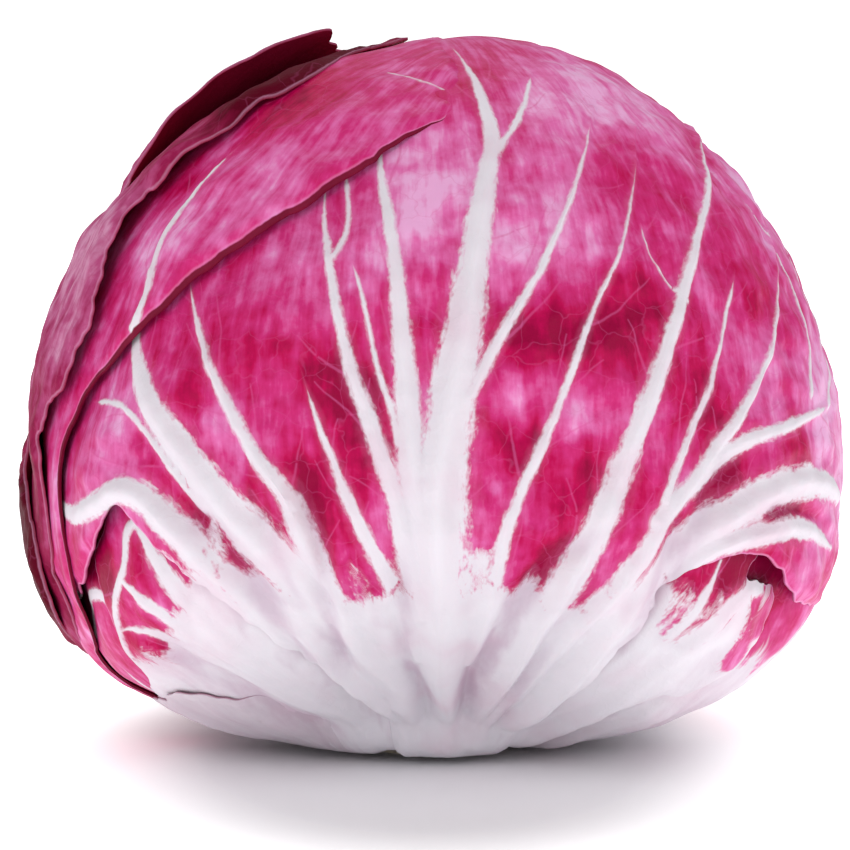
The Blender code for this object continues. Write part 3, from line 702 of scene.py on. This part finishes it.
    # Skin relief: fine pebbling, soft dimples and shallow fibres
    pebble = add(tree, "TexNoise", {"Vector": where, "Scale": 1000 / 0.9, "Detail": 2.0}, "Fac")
    height = pebble
    for layer, share in ((net, 0.2), (patch, 1.6), (streak, 1.6)):
        height = add(tree, "Math", {0: layer, 1: share, 2: height}, operation="MULTIPLY_ADD")
    bump = add(tree, "Bump", {"Strength": 0.5, "Distance": 0.14 * MM, "Height": height}, "Normal")
    tree.links.new(bump, surface.inputs["Normal"])
    return material


dark_skin = leaf_skin("dark_leaf_skin", ("cf8fb0", "b4507f", "96204e", "780e34", "56041c"),
                      crest="e2dbe2", flesh="e2dbe2", groove_shade_colour="c0a6b8", blush="b8688c",
                      inner=("7c0c2c", "a41a42"), rough=0.5, shine=0.02)

BACK_LEFT_MIDRIB = [(-132, -70), (-133, -30), (-136, 10), (-140, 45), (-150, 68)]


def side_ribs(midrib, spread, rise, starts):
    """Side ribs that leave a midrib on both sides and curve up towards the leaf's edge."""
    line = np.array(midrib, float)
    share = np.linspace(0.0, 1.0, len(line))
    ribs = []
    for i, start in enumerate(starts):
        side = 1 if i % 2 else -1
        azimuth = np.interp(start, share, line[:, 0])
        elevation = np.interp(start, share, line[:, 1])
        path = [(azimuth + side * spread * t, elevation + rise * t**0.8) for t in (0, 0.3, 0.65, 1)]
        ribs.append((path, 2.6 - start, 0.8, 1.3, (3.4 - 2 * start, 0.3, 1.3)))
    return ribs


grow(Leaf(
    "leaf_back_left",
    [(-100, -71.5), (-107, -50), (-102, -36), (-90, -28), (-80, -20), (-76, -13), (-77, -6), (-84, 0),
     (-97, 8), (-103, 17), (-104, 30), (-100, 42), (-94, 50), (-90, 57), (-89, 64), (-90, 71),
     (-97, 76), (-112, 77), (-128, 73.5), (-150, 68), (-174, 65), (164, 59), (163, 50), (166, 40),
     (163, 15), (168, -15), (177, -40), (-172, -60), (-160, -71.5), (-130, -71.5)],
    ribs=[(BACK_LEFT_MIDRIB, 6.0, 1.0, 1.6, (11, 0.5, 1.5))]
    + side_ribs(BACK_LEFT_MIDRIB, 38, 40, (0.1, 0.14, 0.32, 0.36, 0.55, 0.6)),
    pitch=2.6, base=(-132, -78), presses=[(-86, -28, 16, 0.85), (-80, -8, 14, 0.6)],
    frill=0.5, nick=0.4, ruffle=0.25,
    lift=0.2, lifts=[(-88, 64, 15, 3.2), (-97, 77, 6, 1.4), (165, 30, 26, 1.4)],
    white_base=-40, stains_and_painted_light=[(-82, -10, 14, 1.7), (-92, 50, 16, -0.4)],
), 1.0, dark_skin)

# ---- leaf_left ------------------------------------------------------------------------------------
# The second leaf, thin and dark. Only a band along its scalloped edge shows on the left.

LEFT_MIDRIB = [(-110, -70), (-108, -30), (-106, 10), (-104, 45)]

grow(Leaf(
    "leaf_left",
    [(-92, -71.5), (-99, -55), (-92, -38), (-82, -27), (-76, -20), (-73, -12), (-72, -5), (-72, 3),
     (-70, 10.8), (-66, 17.7), (-63, 23), (-62, 29), (-65, 36), (-64, 43), (-61, 49), (-58, 56),
     (-55, 61), (-49, 64), (-46, 69), (-49, 75), (-58, 80), (-120, 84), (-165, 70), (-158, 50),
     (-150, 25), (-148, 0), (-145, -30), (-140, -55), (-132, -71.5)],
    ribs=[(LEFT_MIDRIB, 5.0, 1.0, 1.4, (8, 0.5, 1.4))],
    pitch=2.2, base=(-110, -78), presses=[(-52, 72, 12, 0.7), (-80, -28, 16, 0.85), (-74, -8, 14, 0.6)],
    frill=0.5, nick=0.6, ruffle=0.3,
    lift=0.3, lifts=[(-64, 38, 12, 1.1), (-72, -6, 7, 0.4)],
    # The deep red stain at (-58, 68) is painted shade, in the gap under leaf_back_left's raised edge
    white_base=-44, stains_and_painted_light=[(-72, 34, 16, -0.8), (-58, 68, 13, 1.9), (-84, -14, 12, 0.5)],
), 0.9, dark_skin)

# ---- leaf_left_front ------------------------------------------------------------------------------
# The broad flap at the upper left: thin and satin, laid over the front leaf, with a crisp free edge.

# The dark inner pair is the inner face's colour, and on the flap's turned-under lip it also paints the shade
# there
red_skin = leaf_skin("red_leaf_skin", ("e8a8d4", "dd6cab", "cb3078", "b9064e", "94003a"),
                     crest="e2dbe3", flesh="e8e3ea", groove_shade_colour="cfbccb", blush="d676a6",
                     inner=("5e0822", "801236"), rough=0.42, shine=0.08)

grow(Leaf(
    "leaf_left_front",
    [(-76, -71.5), (-86, -55), (-82, -38), (-76, -28), (-69, -21), (-65.5, -14), (-64, -8), (-65, -2),
     (-66, 4), (-64, 11), (-60, 17), (-55, 21), (-51, 24.5), (-46.7, 27.8), (-42, 32), (-32, 39.7),
     (-24.5, 44.6), (-16, 50.5), (-7, 56.5), (3.6, 60.3), (9, 64), (12, 70), (13, 77), (20, 85), (165, 80),
     (-170, 65), (-152, 45), (-140, 20), (-136, -10), (-132, -40), (-122, -60), (-114, -71.5)],
    ribs=[([(-50.5, 25.5), (-50, 31), (-51.5, 36), (-52, 41), (-52, 47), (-50, 55)], 1.0, 0.6, 0.7,
           (0.9, 0.3, 1.0)),
          ([(-16, 70), (-3.6, 67.6), (7, 65)], 0.5, 0.3, 0.25, (0.1, 0.04, 1.0))],
    pitch=2.0, base=(-95, -78),
    presses=[(-76, -28, 16, 0.9), (-68, -10, 12, 0.6), (9, 66, 12, 1.0), (13, 76, 14, 1.0),
             (30, 84, 16, 0.9)],
    frill=0.2, nick=0.2, ruffle=0.1, lift=0.5, lifts=[(-30, 41, 12, 0.2)], lip=0.55, white_base=-45,
    stains_and_painted_light=[(-30, 50, 14, -0.2), (-57, 36, 4, -0.8), (-47, 37, 6, -0.8), (-60, 48, 5, 0.6), (-50, 60, 6, 0.6),
            (-40, 67, 7, 0.5), (-42, 33, 4, 0.4), (0, 66, 9, -0.05), (-20, 74, 10, -0.1), (-64, 0, 9, -0.5)],
), 0.75, red_skin)

# ---- leaf_base_left -------------------------------------------------------------------------------
# A short pale leaf base, low at the left, that the floor presses flat.

pale_skin = leaf_skin("pale_leaf_skin", ("e0b4cc", "d67ca6", "c43a74", "ac1048", "8a0430"),
                      crest="e6dfe5", flesh="dad1d9", groove_shade_colour="c6b2c0", blush="d8a0bc",
                      inner=("8a4060", "a86480"), rough=0.5, shine=0.1)

grow(Leaf(
    "leaf_base_left",
    [(-98, -71.5), (-98, -56), (-90, -47), (-80, -40), (-71, -36.5), (-64, -34.5), (-57, -33),
     (-50, -33.5), (-44, -35), (-38, -38.5), (-34, -46), (-32, -58), (-32, -71.5), (-55, -71.5)],
    pitch=1.5, base=(-50, -78), presses=[(-34, -42, 12, 1.0), (-30, -60, 18, 1.0), (-72, -34, 12, 0.7)],
    frill=0.3, lift=0.2, lifts=[(-72, -37, 8, 0.3)], white_base=-26, stains_and_painted_light=[(-60, -38, 12, 0.4)],
), 0.8, pale_skin)

# ---- leaf_front -----------------------------------------------------------------------------------
# The great leaf that wraps the front: one thick white midrib, ribs that fan out from the stem, and
# satin skin that runs from deep crimson between the ribs to lilac where its wax bloom is thick. Its lilac
# stains are partly that bloom and partly a painted sheen: the softboxes' broad reflection and the pale
# glaze near its right edge, where it turns away.

grow(Leaf(
    "leaf_front",
    [(-14, -71.5), (-15, -50), (-22, -30), (-31, -14), (-38, -6), (-43, -2), (-48, 1), (-52, -3),
     (-57, -8), (-63, -12.6), (-70, -15.5), (-80, -19), (-90, -25), (-98, -28), (-106, -20),
     (-112, 0), (-110, 25), (-100, 48), (-84, 66), (-60, 78), (-90, 86), (-175, 79), (140, 70),
     (118, 58), (113, 45), (116, 25), (120, 5), (120, -14), (112, -25), (100, -25), (88, -20),
     (78, -16.5), (71, -15.5), (65, -14), (59, -10), (54, -7.5), (48, -5.8), (43, -6.5), (38.5, -9),
     (36, -12.5), (36, -17), (34, -23), (32, -31), (31, -40), (31, -52), (34, -71.5), (10, -71.5)],
    ribs=[
        ([(10, -70), (4, -44), (1.4, -11.4), (0.8, 4.4), (2.9, 17.8), (5.1, 28.6), (8.1, 41.3),
          (13.8, 55.5), (14.8, 61.2), (14.4, 69.8), (12, 77), (8, 83)], 6.4, 1.2, 3.0, (11, 0.4, 1.6)),
        ([(2, 12), (6.7, 20.5), (11.9, 28.5), (17.7, 35.3), (26.4, 45.3), (34.8, 53), (42, 58), (48, 61)],
         1.5, 0.6, 0.9, (1.1, 0.12, 1.3)),
        ([(14.4, 53.8), (23, 60), (30.4, 65), (38, 69)], 0.9, 0.5, 0.5, (0.5, 0.25, 1.0)),
        ([(8.5, -30), (9.7, -4.3), (12, 4.2), (16.6, 13.5), (24.5, 28), (32.8, 37.5), (44.5, 49.2),
          (49, 53), (54, 56)], 2.2, 0.6, 1.1, (1.8, 0.1, 1.9)),
        ([(14, -60), (16.3, -36.8), (19.7, -11.3), (26.6, 6.3), (34.7, 20.6), (46.6, 35),
          (59, 43.3), (74, 50), (90, 54)], 3.2, 1.2, 1.7, (6.4, 0.45, 2.1)),
        ([(18, -60), (23, -22), (31.5, -3.7), (41.6, 8), (54, 17.6), (64, 26.4), (77.8, 37)],
         2.8, 0.9, 1.6, (5, 0.3, 1.8)),
        ([(33, 0), (40.5, 5.9), (48.7, 9.5), (60, 10.8), (77, 11.7)], 1.8, 0.8, 0.9, (1.8, 0.3, 1.0)),
        ([(26, -52), (29, -22), (37.5, -5), (46, 0), (57, 2.6), (69, 1.8), (80, -1.5)],
         3.4, 2.0, 2.0, (4.6, 1.9, 1.0)),
        ([(36, -13), (41, -5.5), (47, -3.6), (54, -3.2), (61, -3.4), (68, -5.2), (75, -8)], 1.6, 1.0, 0.9,
         (2.2, 1.0, 1.0)),
        ([(2, -18), (-0.2, -4.2), (-2.2, 7.1), (-3.7, 20.5), (-5.9, 37), (-10.8, 52), (-13, 60)],
         3.0, 1.2, 1.5, (4, 0.55, 1.8)),
        ([(-1.5, -16), (-4.2, 1.6), (-8.2, 13.7), (-12.6, 24.4), (-17, 36.7), (-20.8, 45.5), (-22.5, 53)],
         2.2, 0.8, 1.1, (2.2, 0.35, 1.5)),
        ([(-10, -30), (-15.4, -11.3), (-19.4, 2.6), (-25.6, 10.4), (-32.3, 19.4), (-41.8, 31), (-44, 36)],
         2.2, 0.8, 1.3, (3.9, 0.4, 1.8)),
        ([(-6, -52), (-9.3, -34), (-19.5, -9.5), (-30.7, 3.3), (-39.7, 12), (-46.8, 18.3), (-52, 24),
          (-56, 30)], 4.2, 2.0, 2.0, (8.4, 1.2, 1.4)),
        ([(-33, 1.8), (-42.2, 10.5), (-50, 14.6), (-62, 14.5)], 1.2, 0.6, 0.6, (0.7, 0.3, 1.0)),
        ([(-9, -64), (-12.5, -50), (-22.5, -20), (-33.7, -5.3), (-41.6, 1.8), (-47, 3.3),
          (-52.8, 0.8), (-62, -1.8), (-74, 0)], 3.4, 1.8, 1.9, (4.6, 1.0, 1.0)),
        ([(-3, -28), (-5.8, -9.4), (-8.4, -2.4), (-12, 5.5), (-15.8, 14), (-19.5, 22.5)], 1.6, 0.7, 0.7,
         (2.4, 0.2, 1.3)),
        ([(-17, 36.7), (-15.9, 39), (-15.4, 43.4), (-18.5, 52)], 0.7, 0.5, 0.4, (0.45, 0.3, 1.0)),
        ([(-4.6, 12), (-5.4, 16), (-7, 20), (-8.4, 24), (-10.4, 31), (-14, 38.5)], 0.6, 0.5, 0.3,
         (0.5, 0.2, 1.0)),
        ([(43, 29.5), (41, 31.5), (39.6, 34.5), (38.6, 37), (39.6, 42)], 0.6, 0.5, 0.3, (0.2, 0.06, 1.0)),
        ([(34, 3), (38.3, 10.9), (44, 18.5), (51, 27.6), (57, 33.5)], 0.9, 0.6, 0.5, (0.8, 0.15, 1.2)),
        ([(68, 14), (73, 22), (76, 30), (76, 38), (73, 45)], 0.6, 0.4, 0.4, (0.45, 0.05, 1.0)),
        ([(76, 11.5), (83, 18), (88, 28), (90, 40)], 0.6, 0.4, 0.4, (0.5, 0.05, 1.0)),
    ],
    pitch=3.0, base=(8, -80),
    presses=[(-34, -30, 22, 0.85), (-62, -20, 14, 0.85), (-20, -56, 18, 0.9), (40, -36, 20, 0.7),
             (48, -14, 12, 0.5), (30, -58, 16, 0.8), (80, -20, 14, 0.95)],
    frill=0.4, ruffle=0.25, lift=0.5, lifts=[(-44, -2, 7, 0.5), (58, -8, 9, 0.8), (120, 0, 30, 1.2)],
    white_base=-8, fingers=2.6,
    fleshes=[(-9, -11, 3, -7), (-16.5, -6, 2.5, -4), (-20, -6, 2.2, -5), (-22, 1, 3.5, 9), (-30, 0, 5, 7),
             (7, -4, 3, 8), (12, -6, 3, -2), (22, -11, 3, -9), (15, -4, 4, -2), (30, -3, 4, -4),
             (-64, -12, 10, -14), (72, -14, 14, -18)],
    # Negative stains are lilac, partly wax bloom and partly painted sheen; positive ones are crimson
    stains_and_painted_light=[
        (1, 52, 9, -0.85), (-3, 42, 6, -0.6), (-23, 36, 5, -0.5), (-20, 29, 4, -0.25), (-11, 38, 5, -0.5),
        (-30, 24, 6, 0.15), (-31, 15, 3.5, -0.6), (25, 40, 6, -0.7), (27, 50, 6, -0.5), (13, 40, 4, -0.4),
        (34, 61, 7, -0.4), (50, 68, 9, -0.5), (66, 60, 10, -0.5), (14, 66, 8, 0.2), (69, 42, 8, 0.1),
        (76, 30, 8, -0.2), (73, 13, 8, -0.8), (86, 42, 10, -0.8), (88, 5, 14, -0.9), (54, 18, 5, -0.4),
        (12, 18.5, 3.5, -0.8), (21, 15.5, 3.5, -0.8), (-50, 14, 6, -0.5), (-52, 5, 6, -0.3),
        (68, -10, 7, -0.4), (-14, 21, 6, 0.9), (-11, 14, 5, 0.8), (-8, 20, 3, 0.4), (-17, 4, 6, 0.4),
        (-36, 17, 3, 0.7), (-1, 27, 4, 0.3), (14, 26, 4.5, 1.0), (19, 28, 4, 0.5), (28, 25, 7, 1.0),
        (36, 30, 5, 0.6), (12, 11, 4.5, 0.8), (22, 6, 6, 0.7), (17, -3, 5, 0.5), (-9, -6, 6, 0.4),
        (41, 16, 5, 0.6), (47, 8, 6, 0.5), (62, 7, 4, 0.8), (43, 1, 5, 0.4), (40, 52, 5, 0.2),
        (60, 30, 5, 0.2), (58, -1, 4, 0.8)],
), 0.62, red_skin)

# ---- leaf_back_right ------------------------------------------------------------------------------
# The outer leaf behind, on the right: a broad midrib, side ribs in pairs and a gently waved edge.

BACK_RIGHT_MIDRIB = [(136, -70), (137, -30), (140, 10), (145, 45), (155, 66)]

grow(Leaf(
    "leaf_back_right",
    [(92, -71.5), (88, -58), (92, -40), (98, -15), (97, 15), (94, 40), (90, 60), (95, 79), (-150, 84),
     (-162, 62), (-160, 35), (-156, 5), (-158, -25), (-166, -50), (-172, -71.5), (150, -71.5)],
    ribs=[(BACK_RIGHT_MIDRIB, 6.0, 1.0, 1.6, (11, 0.5, 1.5))]
    + side_ribs(BACK_RIGHT_MIDRIB, 34, 40, (0.1, 0.14, 0.32, 0.36, 0.55, 0.6)),
    pitch=2.3, base=(136, -78), frill=0.6, lift=0.6, white_base=-34,
), 0.9, red_skin)

# ---- leaf_lower_left ------------------------------------------------------------------------------
# The next leaf in, seen below the front leaf at the left, with white ribs between pink patches.

grow(Leaf(
    "leaf_lower_left",
    [(-70, -71.5), (-78, -52), (-74, -42), (-67, -34), (-61, -28), (-58, -21), (-57.5, -16), (-59, -10),
     (-58, -5), (-54, 3), (-52, 14), (-42, 30), (-24, 36), (-6, 30), (4, 14), (6, -10), (3, -40), (2, -60),
     (2, -71.5), (-30, -71.5)],
    ribs=[
        ([(-22, -60), (-31, -30), (-38, -16), (-43, -7.5), (-46.5, -2)], 2.0, 1.2, 1.1, (4, 1.5, 1.2)),
        ([(-24, -56), (-34, -30), (-42, -18), (-47, -12.5), (-51.5, -10)], 1.8, 0.9, 0.9, (3.4, 1.0, 1.2)),
        ([(-30, -48), (-38, -29), (-46, -19.5), (-52, -18), (-56, -19)], 1.6, 0.7, 0.8, (1.8, 0.6, 1.2)),
        ([(-47, -1), (-49.5, -3.5), (-50, -8), (-52, -11), (-55.5, -16.5), (-56, -20), (-57, -24),
          (-59, -29)], 1.0, 1.0, 1.3, (0.75, 0.7, 1.0)),
    ],
    pitch=2.2, base=(-30, -78), presses=[(-66, -26, 15, 0.85)], frill=0.4, lift=0.3,
    white_base=-23.5, fingers=1.6, fleshes=[(-33, -14, 9, 20), (-30, -22, 8, 18), (-57, -30, 5, 4)],
    # The deep red stain at (-57, -10) is painted shade, just under the front leaf's edge
    stains_and_painted_light=[(-45, -8, 5, 0.6), (-50, -15, 4, 0.2), (-52, -21, 4, 0.3), (-57, -10, 5, 1.2),
            (-46, -15, 4, -0.5)],
), 0.7, red_skin)

# ---- leaf_lower_right -----------------------------------------------------------------------------
# The pale folded leaf under the front leaf's lip at the right.

grow(Leaf(
    "leaf_lower_right",
    [(14, -71.5), (15, -50), (18, -20), (26, 5), (40, 22), (56, 20), (62, 6), (58, -5), (54, -9.5),
     (58, -11.5), (61.5, -13), (64, -16), (64, -19.5), (62, -23), (60.5, -27), (57, -31), (52, -31.5),
     (48, -32), (45.5, -36), (44, -43), (45, -50), (44, -60), (43, -71.5)],
    ribs=[
        ([(32, -60), (37, -32), (42.5, -17), (45, -11), (46.5, -7)], 2.4, 0.9, 1.1, (4, 0.8, 1.2)),
        ([(38, -60), (42, -32), (48, -17.5), (54, -12.5), (58, -12)], 3.0, 2.0, 1.4, (6, 2.0, 1.2)),
    ],
    pitch=2.4, base=(36, -78), frill=0.3, lift=0.3, lifts=[(60, -14, 8, 0.5), (47, -36, 8, 0.9)],
    white_base=-14, fingers=1.8,
    fleshes=[(61, -18, 3, -10), (57, -24, 4, -16), (44, -19, 3, -9), (37, -12, 3, 8)],
    stains_and_painted_light=[(45, -9, 8, 0.6), (60, -18, 5, 0.1), (57, -25, 4, -0.3), (52, -7, 4, 0.8)],
), 0.7, red_skin)

# ---- leaf_low_left --------------------------------------------------------------------------------
# A red leaf with a white rib, which shows in the gap low at the left.

grow(Leaf(
    "leaf_low_left",
    [(-108, -71.5), (-110, -50), (-106, -36), (-96, -22), (-84, -10), (-72, -3), (-60, -2), (-50, -6),
     (-44, -16), (-40, -30), (-38, -50), (-40, -71.5), (-75, -71.5)],
    ribs=[([(-70, -62), (-68, -40), (-66, -26)], 2.0, 0.8, 0.9, (2, 0.4, 1.0)),
          ([(-72, -22), (-68, -17), (-64, -14.5), (-60, -14.5), (-56, -18)], 1.2, 1.0, 1.0, (1.0, 0.8, 1.0))],
    pitch=2.2, base=(-70, -78), frill=0.3, lift=0.4, white_base=-50,
    stains_and_painted_light=[(-66, -24, 7, 0.3), (-62, -8, 6, 1.4)],
), 0.8, red_skin)

# ---- leaf_low_right -------------------------------------------------------------------------------
# A pale leaf with a pink edge, low at the right. The deep red at that edge is partly painted shade of the
# cavity under the front leaf's lip, and the red streak low down is a painted shadow under leaf_lower_right's
# edge.

grow(Leaf(
    "leaf_low_right",
    [(30, -71.5), (32, -50), (36, -26), (48, -10), (62, -6), (80, -8), (94, -16), (104, -30), (108, -50),
     (108, -71.5), (70, -71.5)],
    ribs=[([(56, -62), (56, -40), (60, -24)], 2.2, 1.0, 0.9, (6, 1.5, 1.0))],
    pitch=2.2, base=(60, -78), frill=0.3, lift=0.4, white_base=-24, fingers=3.0,
    fleshes=[(49, -37, 4, -16)], stains_and_painted_light=[(58, -8, 12, 1.6), (49, -36, 6, 1.0), (84, -24, 14, -0.4)],
), 0.8, red_skin)

# ---- heart ----------------------------------------------------------------------------------------
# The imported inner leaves. Only slivers of it show between the outer ones, so it keeps its shape.


def mottled(name, size, shades, rough):
    """Plain plant flesh in two colours that a noise of that size mixes."""
    material = bpy.data.materials.new(name)
    material.use_nodes = True
    tree = material.node_tree
    surface = tree.nodes["Principled BSDF"]
    where = add(tree, "TexCoord", {}, "Object")
    mottle = add(tree, "TexNoise", {"Vector": where, "Scale": 1 / size, "Detail": 4.0}, "Fac")
    colour = add(tree, "Mix", {0: mottle, 6: linear(shades[0]), 7: linear(shades[1])}, 2, data_type="RGBA")
    tree.links.new(colour, surface.inputs["Base Color"])
    surface.inputs["Roughness"].default_value = rough
    return material


heart = frame["nodes"]["heart"].data
heart.materials.clear()
heart.materials.append(mottled("inner_leaf_skin", 6 * MM, ("6a1130", "9c2450"), 0.5))

# ---- stem -----------------------------------------------------------------------------------------
# The short cut core that every leaf grows from: pale flesh mottled with light brown.

stem = frame["nodes"]["stem"].data
stem.materials.clear()
stem.materials.append(mottled("cut_stem_flesh", 2.5 * MM, ("efe6dc", "cdb9a4"), 0.6))

# ---- the studio -----------------------------------------------------------------------------------
# A white floor with painted light: its own glow rises away from the head in a squeezed ellipse, so that
# the shadow stays close under the head and the floor fades to plain white. Softboxes stand at the upper
# left, at the right and low in front, and the largest one overhead.

FLOOR_SIZE = 14.0
SHADE_END, GLOW_START = 0.062, 0.118
SHADE_NARROWING = 1.9

floor_mesh = bpy.data.meshes.new("floor")
half = FLOOR_SIZE / 2
floor_mesh.from_pydata([(-half, -half, 0), (half, -half, 0), (half, half, 0), (-half, half, 0)], [],
                       [(0, 1, 2, 3)])
floor = bpy.data.objects.new("floor", floor_mesh)
bpy.context.scene.collection.objects.link(floor)
glowing_paper = bpy.data.materials.new("glowing_white_paper")
glowing_paper.use_nodes = True
tree = glowing_paper.node_tree
where = add(tree, "TexCoord", {}, "Object")
away = add(tree, "VectorMath", {0: where, 1: (SHADE_NARROWING, 1.0, 1.0)}, operation="MULTIPLY")
away = add(tree, "VectorMath", {0: away}, "Value", operation="LENGTH")
# Painted light: the floor's glow, none near the head and bright beyond
glow = add(tree, "MapRange", {0: away, 1: SHADE_END, 2: GLOW_START, 3: 0.0, 4: 0.78}, **EASED)
surface = tree.nodes["Principled BSDF"]
surface.inputs["Base Color"].default_value = (0.93, 0.93, 0.94, 1.0)
surface.inputs["Roughness"].default_value = 0.7
surface.inputs["Emission Color"].default_value = (1.0, 1.0, 1.0, 1.0)
tree.links.new(glow, surface.inputs["Emission Strength"])
floor_mesh.materials.append(glowing_paper)

world = bpy.data.worlds.new("studio")
bpy.context.scene.world = world
world.use_nodes = True
world.node_tree.nodes["Background"].inputs["Color"].default_value = (1.0, 1.0, 1.0, 1.0)
world.node_tree.nodes["Background"].inputs["Strength"].default_value = 0.47

HEAD_MIDDLE = Vector((0.0, 0.0, 50 * MM))
for name, place, size, power in (
    ("softbox_left", (-0.55, -0.8, 0.7), 0.55, 2.6),
    ("softbox_low", (0.0, -1.1, 0.1), 0.5, 0.5),
    ("softbox_right", (0.75, -0.45, 0.45), 0.4, 1.2),
    ("softbox_top", (0.0, 0.45, 0.95), 0.7, 2.8),
):
    lamp = bpy.data.lights.new(name, "AREA")
    lamp.size = size
    lamp.energy = power
    box = bpy.data.objects.new(name, lamp)
    box.location = place
    box.rotation_euler = (HEAD_MIDDLE - Vector(place)).to_track_quat("-Z", "Y").to_euler()
    bpy.context.scene.collection.objects.link(box)

CAMERA_AWAY = 0.72
CAMERA_RISE = np.radians(7.0)
camera = bpy.data.objects.new("camera", bpy.data.cameras.new("camera"))
camera.data.sensor_width = 36
camera.data.lens = 191.1
camera.data.shift_x = -0.0071
camera.data.shift_y = 0.0093
camera.data.clip_start = 0.01
camera.location = HEAD_MIDDLE + CAMERA_AWAY * Vector((0.0, -np.cos(CAMERA_RISE), np.sin(CAMERA_RISE)))
camera.rotation_euler = (HEAD_MIDDLE - camera.location).to_track_quat("-Z", "Y").to_euler()
bpy.context.scene.collection.objects.link(camera)
bpy.context.scene.camera = camera
bpy.context.scene.view_settings.view_transform = "Standard"
